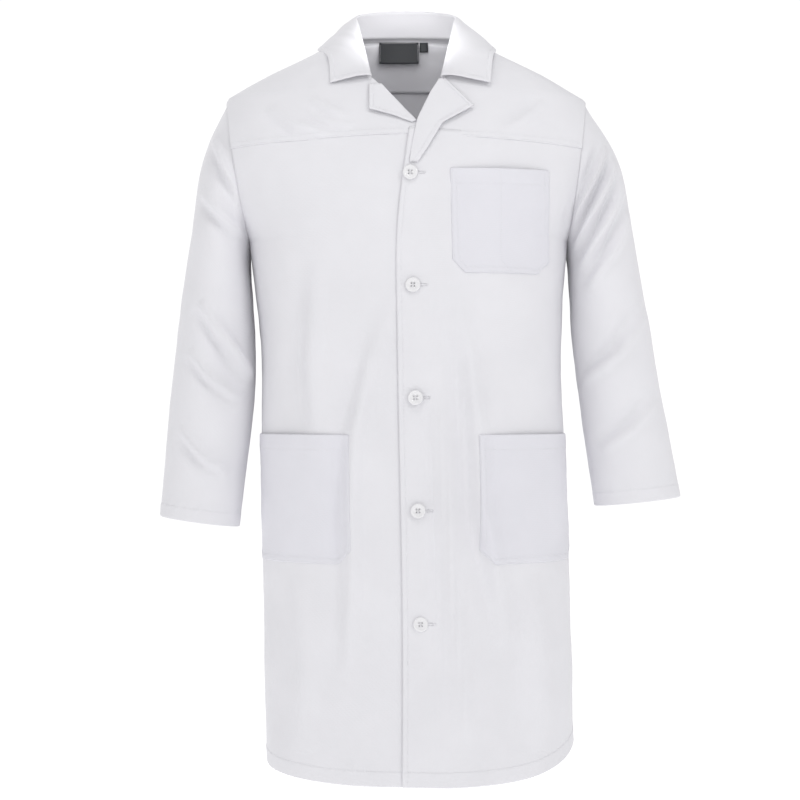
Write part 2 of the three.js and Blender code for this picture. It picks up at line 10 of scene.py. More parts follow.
import bpy
import numpy as np
from mathutils import Matrix, Vector
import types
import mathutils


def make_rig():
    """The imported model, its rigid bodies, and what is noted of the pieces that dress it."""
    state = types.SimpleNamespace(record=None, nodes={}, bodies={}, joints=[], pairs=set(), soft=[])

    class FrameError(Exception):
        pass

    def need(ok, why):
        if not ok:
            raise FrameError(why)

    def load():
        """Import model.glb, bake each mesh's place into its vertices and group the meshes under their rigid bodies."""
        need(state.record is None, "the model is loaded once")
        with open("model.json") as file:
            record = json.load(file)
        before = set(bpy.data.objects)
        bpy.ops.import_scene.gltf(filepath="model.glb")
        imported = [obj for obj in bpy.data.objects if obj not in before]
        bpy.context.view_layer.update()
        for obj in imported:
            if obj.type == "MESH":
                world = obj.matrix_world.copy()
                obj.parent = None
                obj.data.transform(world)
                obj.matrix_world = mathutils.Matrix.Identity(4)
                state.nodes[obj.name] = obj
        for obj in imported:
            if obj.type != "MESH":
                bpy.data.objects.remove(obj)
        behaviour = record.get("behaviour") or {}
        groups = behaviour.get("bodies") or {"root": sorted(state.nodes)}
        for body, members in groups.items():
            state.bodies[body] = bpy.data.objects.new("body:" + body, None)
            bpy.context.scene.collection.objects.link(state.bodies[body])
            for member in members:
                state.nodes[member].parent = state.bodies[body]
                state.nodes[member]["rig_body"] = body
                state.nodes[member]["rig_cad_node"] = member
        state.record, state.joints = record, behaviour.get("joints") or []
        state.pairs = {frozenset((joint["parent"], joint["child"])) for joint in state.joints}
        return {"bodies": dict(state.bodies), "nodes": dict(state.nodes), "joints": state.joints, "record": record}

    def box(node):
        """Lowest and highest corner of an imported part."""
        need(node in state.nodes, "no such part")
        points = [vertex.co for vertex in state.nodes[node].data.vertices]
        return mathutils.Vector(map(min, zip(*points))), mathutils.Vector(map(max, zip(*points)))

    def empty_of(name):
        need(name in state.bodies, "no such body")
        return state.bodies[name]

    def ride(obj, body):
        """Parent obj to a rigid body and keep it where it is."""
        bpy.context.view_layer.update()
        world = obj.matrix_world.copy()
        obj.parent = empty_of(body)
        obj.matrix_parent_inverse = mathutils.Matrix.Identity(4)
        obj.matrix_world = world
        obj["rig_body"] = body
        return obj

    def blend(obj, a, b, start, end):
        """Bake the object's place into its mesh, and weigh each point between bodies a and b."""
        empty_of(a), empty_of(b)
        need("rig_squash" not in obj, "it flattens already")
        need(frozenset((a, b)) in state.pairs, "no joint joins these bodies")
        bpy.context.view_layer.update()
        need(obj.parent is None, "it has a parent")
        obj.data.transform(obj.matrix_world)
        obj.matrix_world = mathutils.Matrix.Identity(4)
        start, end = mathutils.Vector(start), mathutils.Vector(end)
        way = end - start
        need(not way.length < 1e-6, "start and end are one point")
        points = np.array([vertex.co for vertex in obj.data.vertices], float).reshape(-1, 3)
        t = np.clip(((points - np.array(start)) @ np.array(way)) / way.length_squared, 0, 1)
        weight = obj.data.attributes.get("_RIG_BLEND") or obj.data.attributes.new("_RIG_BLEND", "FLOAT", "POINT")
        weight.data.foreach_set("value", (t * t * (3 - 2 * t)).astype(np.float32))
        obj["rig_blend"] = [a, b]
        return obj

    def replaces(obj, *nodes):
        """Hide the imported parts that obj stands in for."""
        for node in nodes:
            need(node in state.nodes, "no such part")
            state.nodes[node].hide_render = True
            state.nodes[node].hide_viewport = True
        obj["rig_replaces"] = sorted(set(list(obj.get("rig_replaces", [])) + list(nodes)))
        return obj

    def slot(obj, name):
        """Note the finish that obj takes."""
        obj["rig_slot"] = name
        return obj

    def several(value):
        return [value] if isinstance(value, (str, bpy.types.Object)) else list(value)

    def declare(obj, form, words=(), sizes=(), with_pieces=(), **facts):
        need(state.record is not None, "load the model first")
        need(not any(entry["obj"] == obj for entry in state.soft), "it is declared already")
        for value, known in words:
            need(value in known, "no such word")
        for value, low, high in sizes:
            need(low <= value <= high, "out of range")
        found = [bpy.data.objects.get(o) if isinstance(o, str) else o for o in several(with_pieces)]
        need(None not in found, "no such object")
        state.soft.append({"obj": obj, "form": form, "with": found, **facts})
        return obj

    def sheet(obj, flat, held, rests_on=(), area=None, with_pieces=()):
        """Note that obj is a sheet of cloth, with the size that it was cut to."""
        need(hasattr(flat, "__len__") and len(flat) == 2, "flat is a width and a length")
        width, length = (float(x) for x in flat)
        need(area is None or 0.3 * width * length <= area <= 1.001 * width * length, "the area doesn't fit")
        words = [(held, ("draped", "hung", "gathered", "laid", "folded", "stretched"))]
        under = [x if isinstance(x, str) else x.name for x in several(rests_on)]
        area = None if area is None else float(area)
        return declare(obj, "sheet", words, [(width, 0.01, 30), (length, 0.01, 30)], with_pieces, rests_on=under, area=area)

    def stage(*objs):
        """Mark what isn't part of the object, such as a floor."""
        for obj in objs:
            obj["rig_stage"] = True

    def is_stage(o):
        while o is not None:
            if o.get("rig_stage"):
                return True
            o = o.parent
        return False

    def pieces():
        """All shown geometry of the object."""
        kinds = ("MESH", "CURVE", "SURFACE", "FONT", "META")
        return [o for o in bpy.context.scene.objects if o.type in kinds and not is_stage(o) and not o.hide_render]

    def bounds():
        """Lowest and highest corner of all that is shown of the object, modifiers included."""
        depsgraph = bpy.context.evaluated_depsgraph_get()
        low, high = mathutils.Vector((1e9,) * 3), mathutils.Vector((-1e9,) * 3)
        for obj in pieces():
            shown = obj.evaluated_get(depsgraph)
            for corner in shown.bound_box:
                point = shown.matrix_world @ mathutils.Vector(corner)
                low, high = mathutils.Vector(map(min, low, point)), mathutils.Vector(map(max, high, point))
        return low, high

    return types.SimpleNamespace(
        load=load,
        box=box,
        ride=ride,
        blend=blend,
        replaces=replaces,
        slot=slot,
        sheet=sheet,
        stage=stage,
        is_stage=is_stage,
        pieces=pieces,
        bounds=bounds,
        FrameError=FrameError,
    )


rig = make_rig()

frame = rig.load()
cad_box = [list(corner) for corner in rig.bounds()]
joints = {joint["name"]: joint for joint in frame["joints"]}

MM = 0.001
CLOTH = 0.7  # one layer of twill
DOUBLE = 1.3  # a turned hem or a faced edge
BACK_LENGTH = 1040.0
HEM_Z = -BACK_LENGTH
HEM_RISE_LEFT, HEM_RISE_RIGHT = 36.0, 16.0
HEM_DRIFT = 20.0
SHOULDER_X, SHOULDER_Z = 252.0, -100.0
ARMPIT_X, ARMPIT_Z = 224.0, -300.0
ARMHOLE_HALF_DEPTH = 88.0
SQUARENESS = 2.4
OPENING_TOP = -162.0
QUARTER = math.pi / 2
SIDES = {"left": 1, "right": -1}

HEM_BAND = 20.0
CUFF_BAND = 18.0
STITCH_PITCH = 3.1
STITCH_LENGTH = 2.3
STITCH_RADIUS = 0.26
TOPSTITCH = (1.8, 7.5)  # a seam's two stitch rows, from its edge
EDGE_STITCH = 6.5  # a turned edge is stitched this far in
FACING_EDGE = 64.0  # the facing's free edge shows through this far in
PUCKER_REACH = 6.5
GRID = 5.0  # usual spacing of a sheet's grid

BUTTON_X = 4.0
FIRST_BUTTON, BUTTON_PITCH, BUTTON_COUNT = -216.0, 151.5, 5
BUTTON_RADIUS = 10.0
BUTTON_BACK = 5.0  # a button's back is this far off the body's surface
HOLE_CIRCLE, HOLE_RADIUS = 2.6, 1.0
SHANK_WRAPS, SHANK_RADIUS = 22, 1.7
BUTTON_NAMES = ("first", "second", "third", "fourth", "fifth")


# ---------- curves ----------
def profile(*stations):
    """The smooth curve through (height, value) stations that the CAD model's body also uses."""
    t, v = np.array(stations, float).T

    def evaluate(z):
        z = np.clip(np.asarray(z, float), t[0], t[-1])
        i1 = np.clip(np.searchsorted(t, z, side="right"), 1, len(t) - 1)
        i0 = i1 - 1
        before = np.where(i0 > 0, i0 - 1, i1)
        after = np.where(i1 < len(t) - 1, i1 + 1, i0)
        span = t[i1] - t[i0]
        p = (z - t[i0]) / span
        wp = 0.5 * span / (t[i0] - t[before])
        wn = 0.5 * span / (t[after] - t[i1])
        sp = -wp * p**3 + 2 * wp * p**2 - wp * p
        s0 = (1 + wp) * p**3 + (-1.5 - 2 * wp) * p**2 + (wp - 0.5) * p + 1
        s1 = (-1 - wn) * p**3 + (1.5 + wn) * p**2 + 0.5 * p
        sn = wn * p**3 - wn * p**2
        return sp * v[before] + s0 * v[i0] + s1 * v[i1] + sn * v[after]

    return evaluate


def spline(points):
    """A centripetal curve through points, as a function of 0 to 1 that takes whole arrays."""
    points = np.array(points, float)
    ends = np.vstack([2 * points[0] - points[1], points, 2 * points[-1] - points[-2]])
    knots = np.maximum(np.linalg.norm(np.diff(ends, axis=0), axis=1), 1e-6) ** 0.5

    def evaluate(t):
        place = np.clip(np.asarray(t, float), 0, 1) * (len(points) - 1)
        i = np.minimum(place.astype(int), len(points) - 2)
        w = (place - i)[..., None]
        x0, x1, x2, x3 = (ends[i + k] for k in range(4))
        d0, d1, d2 = (knots[i + k][..., None] for k in range(3))
        t1 = ((x1 - x0) / d0 - (x2 - x0) / (d0 + d1) + (x2 - x1) / d1) * d1
        t2 = ((x2 - x1) / d1 - (x3 - x1) / (d1 + d2) + (x3 - x2) / d2) * d1
        cubic = 2 * x1 - 2 * x2 + t1 + t2
        square = -3 * x1 + 3 * x2 - 2 * t1 - t2
        return x1 + t1 * w + square * w**2 + cubic * w**3

    return evaluate


def smooth(value, low, high):
    """0 below low and 1 above high, with an easy turn between them."""
    share = np.clip((np.asarray(value, float) - low) / (high - low), 0, 1)
    return share * share * (3 - 2 * share)


def lerp(a, b, share):
    return a + (b - a) * share


# ---------- the body's surface ----------
front_depth = profile((HEM_Z, 163), (-500, 155), (-250, 148), (-170, 140), (-100, 112), (-67, 95),
                      (-39, 75), (-14, 56))
back_depth = profile((HEM_Z, 156), (-700, 140), (-300, 132), (-170, 128), (-100, 112), (-67, 98),
                     (-39, 82), (-14, 70), (0, 66))
shoulder_width = profile((SHOULDER_Z, SHOULDER_X), (-67, 195), (-39, 137), (-22, 105), (-14, 88), (0, 78))
body_width = profile((HEM_Z, 217), (-600, 213), (-430, 212), (ARMPIT_Z, ARMPIT_X))


def armhole_x(z):
    return lerp(ARMPIT_X, SHOULDER_X, (z - ARMPIT_Z) / (SHOULDER_Z - ARMPIT_Z))


def half_width(z, depth):
    reach = (SHOULDER_Z - ARMPIT_Z) / 2
    level = np.clip((z - (SHOULDER_Z + ARMPIT_Z) / 2) / reach, -1, 1)
    share = (ARMHOLE_HALF_DEPTH * np.sqrt(1 - level**2) / depth) ** SQUARENESS
    beside = armhole_x(z) / np.maximum(1 - share, 1e-6) ** (1 / SQUARENESS)
    return np.where(z >= SHOULDER_Z, shoulder_width(z), np.where(z <= ARMPIT_Z, body_width(z), beside))


def drift(z):
    return HEM_DRIFT * np.clip((z - OPENING_TOP) / (HEM_Z - OPENING_TOP), 0, 1)


def body_point(angle, z):
    depth = np.where(np.cos(angle) < 0, back_depth(z), front_depth(z))
    power = 2 / SQUARENESS
    across = np.sign(np.sin(angle)) * np.abs(np.sin(angle)) ** power
    along = np.sign(np.cos(angle)) * np.abs(np.cos(angle)) ** power
    return np.stack([half_width(z, depth) * across + drift(z), -depth * along, z + 0 * angle], -1)


def body_normal(angle, z):
    step, rise = 0.02, 6.0
    around = body_point(angle + step, z) - body_point(angle - step, z)
    up = body_point(angle, np.minimum(z + rise, 0)) - body_point(angle, z - rise)
    normal = np.cross(around, up)
    return normal / np.maximum(np.linalg.norm(normal, axis=-1, keepdims=True), 1e-9)


def front_angle(x, z):
    share = np.minimum(1, np.abs(x) / half_width(z, front_depth(z)))
    return np.sign(x) * np.arcsin(share ** (SQUARENESS / 2))


def back_angle(x, z):
    share = np.minimum(1, np.abs(x) / half_width(z, back_depth(z)))
    return np.where(x < 0, -1, 1) * (math.pi - np.arcsin(share ** (SQUARENESS / 2)))


def hem_height(angle):
    rise = np.where(np.sin(angle) > 0, HEM_RISE_LEFT, HEM_RISE_RIGHT)
    return HEM_Z + rise * np.abs(np.sin(angle)) ** 4


def on_front(x, z, height=0.0):
    """Points over the front, given across and up, that far off the body's surface."""
    x, z = np.broadcast_arrays(np.asarray(x, float), np.asarray(z, float))
    angle = front_angle(x, z)
    height = np.asarray(height, float)[..., None]
    return body_point(angle, z) + body_normal(angle, z) * height


# ---------- folds and wrinkles ----------
def noise(a, b, seed):
    """Smooth value noise from -1 to 1, the same on every run."""
    i, j = np.floor(a), np.floor(b)
    s, t = smooth(a - i, 0, 1), smooth(b - j, 0, 1)

    def corner(di, dj):
        value = np.sin((i + di) * 127.1 + (j + dj) * 311.7 + seed * 74.7) * 43758.5453
        return value - np.floor(value)

    low = lerp(corner(0, 0), corner(1, 0), s)
    high = lerp(corner(0, 1), corner(1, 1), s)
    return 2 * lerp(low, high, t) - 1


# Each fold is (facing, height, half width, points from one end to the other as across and up).
# Facing is -1 for folds on the front and 1 for folds on the back.
FOLDS = (
    (-1, 5.0, 13, ((58, -369), (85, -464), (96, -568), (102, -670), (120, -745), (140, -860))),
    (-1, 3.6, 12, ((40, -500), (52, -640), (62, -780), (84, -1000))),
    (-1, 4.0, 12, ((-17, -380), (-50, -480), (-68, -560), (-73, -640), (-73, -760), (-80, -900))),
    (-1, 3.2, 14, ((-120, -330), (-128, -470), (-118, -600))),
    (-1, 3.0, 16, ((-150, -760), (-138, -880), (-142, -1000))),
    (-1, 3.0, 16, ((172, -760), (182, -880), (180, -1000))),
    (-1, 2.6, 7, ((-131, -112), (-104, -128), (-76, -140))),
    (-1, 2.2, 6, ((-138, -126), (-108, -143), (-72, -152))),
    (-1, 2.4, 9, ((-190, -120), (-150, -150), (-96, -160))),
    (-1, 2.2, 9, ((190, -112), (160, -140), (128, -158))),
    (-1, 4.2, 8, ((-272, -150), (-246, -204), (-222, -252))),
    (-1, 4.2, 8, ((-284, -232), (-258, -262), (-228, -294))),
    (-1, 5.8, 9, ((-284, -385), (-250, -438), (-213, -498))),
    (-1, 4.0, 8, ((-300, -452), (-268, -492), (-226, -524))),
    (-1, 3.8, 8, ((-312, -560), (-280, -600), (-246, -622))),
    (-1, 6.2, 6, ((278, -170), (252, -226), (226, -284))),
    (-1, 5.8, 6, ((292, -186), (266, -244), (236, -312))),
    (-1, 5.0, 7, ((304, -214), (278, -272), (242, -344))),
    (-1, 4.5, 8, ((312, -256), (290, -306), (252, -372))),
    (-1, 4.5, 9, ((330, -400), (294, -456), (246, -500))),
    (-1, 3.8, 9, ((346, -520), (312, -560), (270, -592))),
    (1, 3.4, 16, ((-150, -190), (-120, -330), (-104, -520))),
    (1, 3.4, 16, ((150, -190), (124, -330), (110, -520))),
    (1, 3.0, 18, ((-60, -420), (-70, -600), (-96, -860))),
    (1, 3.0, 18, ((72, -460), (84, -640), (112, -900))),
    (1, 3.8, 8, ((286, -170), (250, -240), (226, -300))),
    (1, 3.8, 8, ((-280, -170), (-246, -240), (-222, -300))),
    (1, 5.0, 9, ((318, -420), (290, -462), (244, -480))),
    (1, 5.0, 9, ((-296, -420), (-262, -468), (-220, -486))),
)
FOLD_STRENGTH = 2.4
SLEEVE_CALM = 30.0  # folds die out this close to an armhole seam


def stroke(x, z, points, half):
    """A ridge with a shallow valley beside it along points, fading out towards both ends."""
    points = np.array(points, float)
    lengths = np.linalg.norm(np.diff(points, axis=0), axis=1)
    starts = np.concatenate([[0], np.cumsum(lengths)])
    best = np.full(x.shape, 1e9)
    across = np.zeros(x.shape)
    along = np.zeros(x.shape)
    for (x0, z0), (x1, z1), length, start in zip(points[:-1], points[1:], lengths, starts):
        dx, dz = (x1 - x0) / length, (z1 - z0) / length
        run = np.clip((x - x0) * dx + (z - z0) * dz, 0, length)
        px, pz = x - x0 - run * dx, z - z0 - run * dz
        far = np.hypot(px, pz)
        near = far < best
        best = np.where(near, far, best)
        across = np.where(near, np.copysign(far, px * dz - pz * dx), across)
        along = np.where(near, start + run, along)
    fade = np.sin(math.pi * np.clip(along / starts[-1], 0, 1)) ** 0.7
    ridge = np.exp(-((across / half) ** 2))
    valley = np.exp(-(((across - 1.5 * half) / (1.1 * half)) ** 2))
    return (ridge - 0.65 * valley) * fade


def drape(P, N):
    """How far the cloth stands off its plain shape: folds, soft waves at the hem, small wrinkles."""
    x, y, z = P[..., 0], P[..., 1], P[..., 2]
    total = np.zeros(x.shape)
    for side, height, half, points in FOLDS:
        facing = smooth(side * N[..., 1], 0.05, 0.5)
        if facing.any():
            total += FOLD_STRENGTH * height * facing * stroke(x, z, points, half)
    around = np.arctan2(x - 10, -y) * 150
    low = smooth(-z, 450, 1040)
    total += low * (3.0 * np.sin(around / 34 + 0.6) + 1.8 * np.sin(around / 17.5 + 2.0 + z / 300))
    total += 1.1 * noise(around / 62, z / 110, 1) + 0.85 * noise(around / 26, z / 47, 2)
    total += 0.3 * noise(around / 11 + z / 60, z / 17, 3)
    return total


# ---------- making cloth ----------
def steps(length, spacing=GRID, fine=()):
    """Grid lines from 0 to 1 along a length, closer together near the fine places, given in mm."""
    lines = np.linspace(0, length, max(2, int(round(length / spacing)) + 1))
    near = (0, 0.8, 1.4, 2.0, 2.8, 4.2, 6.2, 7.0, 7.7, 8.4, 10, 13)
    extra = [place + sign * d for place in fine for d in near for sign in (-1, 1)]
    lines = np.concatenate([lines, [e for e in extra if 0 < e < length]])
    lines = np.unique(np.round(lines, 2))
    keep = [lines[0]] + [b for a, b in zip(lines[:-1], lines[1:-1]) if b - a > 0.35] + [lines[-1]]
    return np.array(keep) / length


def lengths_along(P, axis):
    piece = np.linalg.norm(np.diff(P, axis=axis), axis=-1)
    pad = [(0, 0), (0, 0)]
    pad[axis] = (1, 0)
    return np.pad(np.cumsum(piece, axis=axis), pad)


def grid_normals(P, closed):
    """Unit normals of a grid, from its neighbours."""
    if closed:
        wrapped = np.concatenate([P[:, -2:-1], P, P[:, 1:2]], axis=1)
        across = wrapped[:, 2:] - wrapped[:, :-2]
    else:
        across = np.gradient(P, axis=1)
    normal = np.cross(across, np.gradient(P, axis=0))
    return normal / np.maximum(np.linalg.norm(normal, axis=-1, keepdims=True), 1e-9)


class Sheet:
    """A grid of points on a cloth's middle surface, with the way out at each and lengths along it."""

    def __init__(self, P, N, closed=False):
        self.P, self.N, self.closed = P, N, closed
        self.u, self.v = lengths_along(P, 1), lengths_along(P, 0)
        self.edge = {
            "start": self.u,
            "end": self.u[:, -1:] - self.u,
            "low": self.v,
            "high": self.v[-1:] - self.v,
        }
        self.thickness = np.full(P.shape[:2], CLOTH)
        self.cut = (float(self.u.max()) * MM, float(self.v.max()) * MM)
        crossing = np.cross(P[1:, 1:] - P[:-1, :-1], P[1:, :-1] - P[:-1, 1:])
        self.area = float(np.linalg.norm(crossing, axis=-1).sum()) / 2 * MM**2
        self.faces_out = np.sign(np.sum(grid_normals(P, closed) * N))

    def raise_by(self, height):
        self.P = self.P + self.N * height[..., None]
        self.N = grid_normals(self.P, self.closed) * self.faces_out

    def drape(self, still=()):
        """Adds the folds, which die out towards the edges named as sewn to a sleeve."""
        height = drape(self.P, self.N)
        beside = (self.P[..., 2] > ARMPIT_Z - SLEEVE_CALM) & (self.P[..., 2] < SHOULDER_Z + SLEEVE_CALM)
        for edge in still:
            height = np.where(beside, height * smooth(self.edge[edge], 0, SLEEVE_CALM), height)
        self.raise_by(height)
        return self

    def band(self, edge, width, seed, rows=None, pucker=0.5):
        """A turned or doubled border: thicker, with stitch rows that pull small puckers into it."""
        far = self.edge[edge]
        along = self.v if edge in ("start", "end") else self.u
        self.thickness = np.where(far < width + 0.5, DOUBLE, self.thickness)
        height = 0.25 * (1 - smooth(far, width - 0.6, width + 1.2))
        height -= 0.9 * np.exp(-((far / 0.7) ** 2))
        for row in rows or (width,):
            height -= 0.32 * np.exp(-(((far - row) / 0.9) ** 2))
            pull = noise(along / 7.5, far / 30, seed) + 0.6 * noise(along / 3.9, far / 20, seed + 1)
            height += pucker * pull * np.exp(-(((far - row) / PUCKER_REACH) ** 2))
        self.raise_by(height)
        return self

    def seam(self, edge, seed, pucker=0.35):
        return self.band(edge, TOPSTITCH[1] + 1.5, seed, TOPSTITCH, pucker)

    def outer(self):
        return self.P + self.N * self.thickness[..., None] / 2


def new_object(name, vertices, faces, uvs=None, material=None, smooth_faces=None):
    mesh = bpy.data.meshes.new(name)
    mesh.from_pydata((np.asarray(vertices, float) * MM).tolist(), [], faces)
    if uvs is not None:
        layer = mesh.uv_layers.new(name="UVMap")
        layer.data.foreach_set("uv", np.concatenate(uvs).astype(np.float32).ravel() * MM)
    flags = np.ones(len(faces), bool) if smooth_faces is None else np.asarray(smooth_faces)
    mesh.polygons.foreach_set("use_smooth", flags)
    mesh.update()
    obj = bpy.data.objects.new(name, mesh)
    bpy.context.collection.objects.link(obj)
    if material is not None:
        mesh.materials.append(material)
    return obj


def make(name, sheet, material, rows=None, keep_normals=False):
    """The closed thin solid of a sheet, or of some of its rows."""
    pick = rows or slice(None)
    P, N, T = sheet.P[pick], sheet.N[pick], sheet.thickness[pick][..., None]
    u, v = sheet.u[pick], sheet.v[pick]
    count_v, count_u = P.shape[:2]
    used = count_u - 1 if sheet.closed else count_u
    outer, inner = (P + N * T / 2)[:, :used], (P - N * T / 2)[:, :used]
    vertices = np.vstack([outer.reshape(-1, 3), inner.reshape(-1, 3)])
    half = count_v * used
    j, i = np.meshgrid(np.arange(count_v - 1), np.arange(count_u - 1), indexing="ij")
    j, i = j.ravel(), i.ravel()
    k = (i + 1) % used if sheet.closed else i + 1
    quads = np.stack([j * used + i, j * used + k, (j + 1) * used + k, (j + 1) * used + i], 1)
    corners = ((j, i), (j, i + 1), (j + 1, i + 1), (j + 1, i))
    uv = np.stack([np.stack([u[c], v[c]], -1) for c in corners], 1)
    if sheet.faces_out < 0:
        quads, uv = quads[:, ::-1], uv[:, ::-1]
    rims = []
    loops = [[(0, c) for c in range(count_u)], [(count_v - 1, c) for c in range(count_u)][::-1]]
    if not sheet.closed:
        loops = [loops[0] + [(r, count_u - 1) for r in range(1, count_v)] + loops[1][1:]
                 + [(r, 0) for r in range(count_v - 2, -1, -1)]]
    for loop in loops:
        ids = np.array([r * used + (c % used if sheet.closed else c) for r, c in loop])
        a, b = ids[:-1], ids[1:]
        rims.append(np.stack([b, a, a + half, b + half], 1))
    rim = np.vstack(rims)
    if sheet.faces_out < 0:
        rim = rim[:, ::-1]
    faces = np.vstack([quads, quads[:, ::-1] + half, rim])
    rim_uv = np.zeros((len(rim), 4, 2))
    flags = [True] * (2 * len(quads)) + [False] * len(rim)
    obj = new_object(name, vertices, faces.tolist(), [uv.reshape(-1, 2), uv[:, ::-1].reshape(-1, 2),
                     rim_uv.reshape(-1, 2)], material, flags)
    if keep_normals:
        normals = np.vstack([N[:, :used].reshape(-1, 3), -N[:, :used].reshape(-1, 3)])
        obj.data.normals_split_custom_set_from_vertices(normals.tolist())
    return obj


def bars(name, starts, ends, outs, radius, material):
    """Short lengths of thread, each rounded at its ends and lying a little proud of the cloth."""
    along = ends - starts
    beside = np.cross(along, outs)
    beside /= np.maximum(np.linalg.norm(beside, axis=1, keepdims=True), 1e-9)
    rings = []
    for fraction, size, lift in ((0, 0.4, -0.6), (0.22, 1, 0.45), (0.78, 1, 0.45), (1, 0.4, -0.6)):
        middle = starts + along * fraction + outs * lift * radius
        for a, b in ((1, 0), (0, 1), (-1, 0), (0, -1)):
            rings.append(middle + (beside * a + outs * b) * radius * size)
    quads = [[3, 2, 1, 0], [12, 13, 14, 15]]
    for ring in range(0, 12, 4):
        quads += [[ring + s, ring + (s + 1) % 4, ring + 4 + (s + 1) % 4, ring + 4 + s] for s in range(4)]
    faces = np.array(quads)[None] + 16 * np.arange(len(starts))[:, None, None]
    return new_object(name, np.stack(rings, 1).reshape(-1, 3), faces.reshape(-1, 4).tolist(), None, material)


def stitches(name, paths, material):
    """Rows of stitches along paths, each path being points and the ways out there."""
    starts, ends, outs = [], [], []
    for points, normals in paths:
        run = np.concatenate([[0], np.cumsum(np.linalg.norm(np.diff(points, axis=0), axis=1))])
        places = np.arange(1.0, run[-1] - STITCH_PITCH, STITCH_PITCH)
        for table, shift, target in ((points, 0, starts), (points, STITCH_LENGTH, ends),
                                     (normals, STITCH_LENGTH / 2, outs)):
            target.append(np.stack([np.interp(places + shift, run, table[:, c]) for c in range(3)], -1))
    return bars(name, np.vstack(starts), np.vstack(ends), np.vstack(outs), STITCH_RADIUS, material)


def row_along(sheet, edge, offset, trim=0.0):
    """The line on a sheet's outer face that stays offset away from one of its edges."""
    table, far = sheet.outer(), sheet.edge[edge]
    N = sheet.N
    if edge in ("start", "end"):
        lines = [(table[r], N[r], far[r]) for r in range(table.shape[0])]
        other = sheet.v.mean(1)
    else:
        lines = [(table[:, c], N[:, c], far[:, c]) for c in range(table.shape[1])]
        other = sheet.u.mean(0)
    points, normals = [], []
    for line, out, distance in lines:
        order = np.argsort(distance)
        points.append([np.interp(offset, distance[order], line[order, c]) for c in range(3)])
        normals.append([np.interp(offset, distance[order], out[order, c]) for c in range(3)])
    keep = (other >= trim) & (other <= other[-1] - trim)
    return np.array(points)[keep], np.array(normals)[keep]


# ---------- how the pieces move ----------
def rides(body):
    return lambda obj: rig.ride(obj, body)


def blends(a, b, start, end):
    start, end = [c * MM for c in start], [c * MM for c in end]
    return lambda obj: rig.blend(obj, a, b, start=start, end=end)


# Each front bends away from the body along a line that leans with the coat's hem.
FOLD_REACH = 40.0
FOLD_Y, FOLD_LEVEL = -159.0, -600.0
LEAN = {"left": 0.0767, "right": -0.0347}  # across by height
FOLD_X = {"left": 33.25, "right": -36.95}  # where each line would meet height 0


def front_blend(name):
    side, lean = SIDES[name], LEAN[name]
    start = (FOLD_X[name] - lean * FOLD_LEVEL, FOLD_Y, FOLD_LEVEL)
    share = FOLD_REACH / (1 + lean**2)
    end = (start[0] - side * share, FOLD_Y, FOLD_LEVEL - side * share * lean)
    return blends("root", f"{name}_front", start, end)


SLEEVE_TURN = {"shoulder": (0.94, -0.342), "elbow": (0.069, -0.9976)}
SHOULDER_REACH, ELBOW_REACH = 50.0, 100.0


def shoulder_blend(name):
    side = SIDES[name]
    out, down = SLEEVE_TURN["shoulder"]
    start = (side * ARMPIT_X + 3, 0.0, ARMPIT_Z)
    end = (start[0] + side * out * SHOULDER_REACH, 0.0, ARMPIT_Z + down * SHOULDER_REACH)
    return blends("root", f"{name}_upper_arm", start, end)


def elbow_blend(name):
    side = SIDES[name]
    x, y, z = (c / MM for c in joints[f"{name}_elbow"]["pos_m"])
    out, down = SLEEVE_TURN["elbow"]
    half = ELBOW_REACH / 2
    start = (x - side * out * half, y, z - down * half)
    end = (x + side * out * half, y, z + down * half)
    return blends(f"{name}_upper_arm", f"{name}_forearm", start, end)


# ---------- materials ----------
def material(name, color, roughness, sheen=0.0, coat=0.0):
    made = bpy.data.materials.new(name)
    made.use_nodes = True
    shader = made.node_tree.nodes["Principled BSDF"]
    shader.inputs["Base Color"].default_value = (*color, 1)
    shader.inputs["Roughness"].default_value = roughness
    shader.inputs["Sheen Weight"].default_value = sheen
    shader.inputs["Sheen Roughness"].default_value = 0.6
    shader.inputs["Coat Weight"].default_value = coat
    shader.inputs["Specular IOR Level"].default_value = 0.35
    return made, made.node_tree, shader


def link(tree, source, out, target, into):
    tree.links.new(source.outputs[out], target.inputs[into])


def two_tone(tree, source, shader, color, dark, places):
    """A colour that a texture darkens a little."""
    ramp = tree.nodes.new("ShaderNodeValToRGB")
    for stop, place, shade in zip(ramp.color_ramp.elements, places, (dark, 1.0)):
        stop.position = place
        stop.color = (*(c * shade for c in color), 1)
    link(tree, source, "Fac", ramp, "Fac")
    link(tree, ramp, "Color", shader, "Base Color")


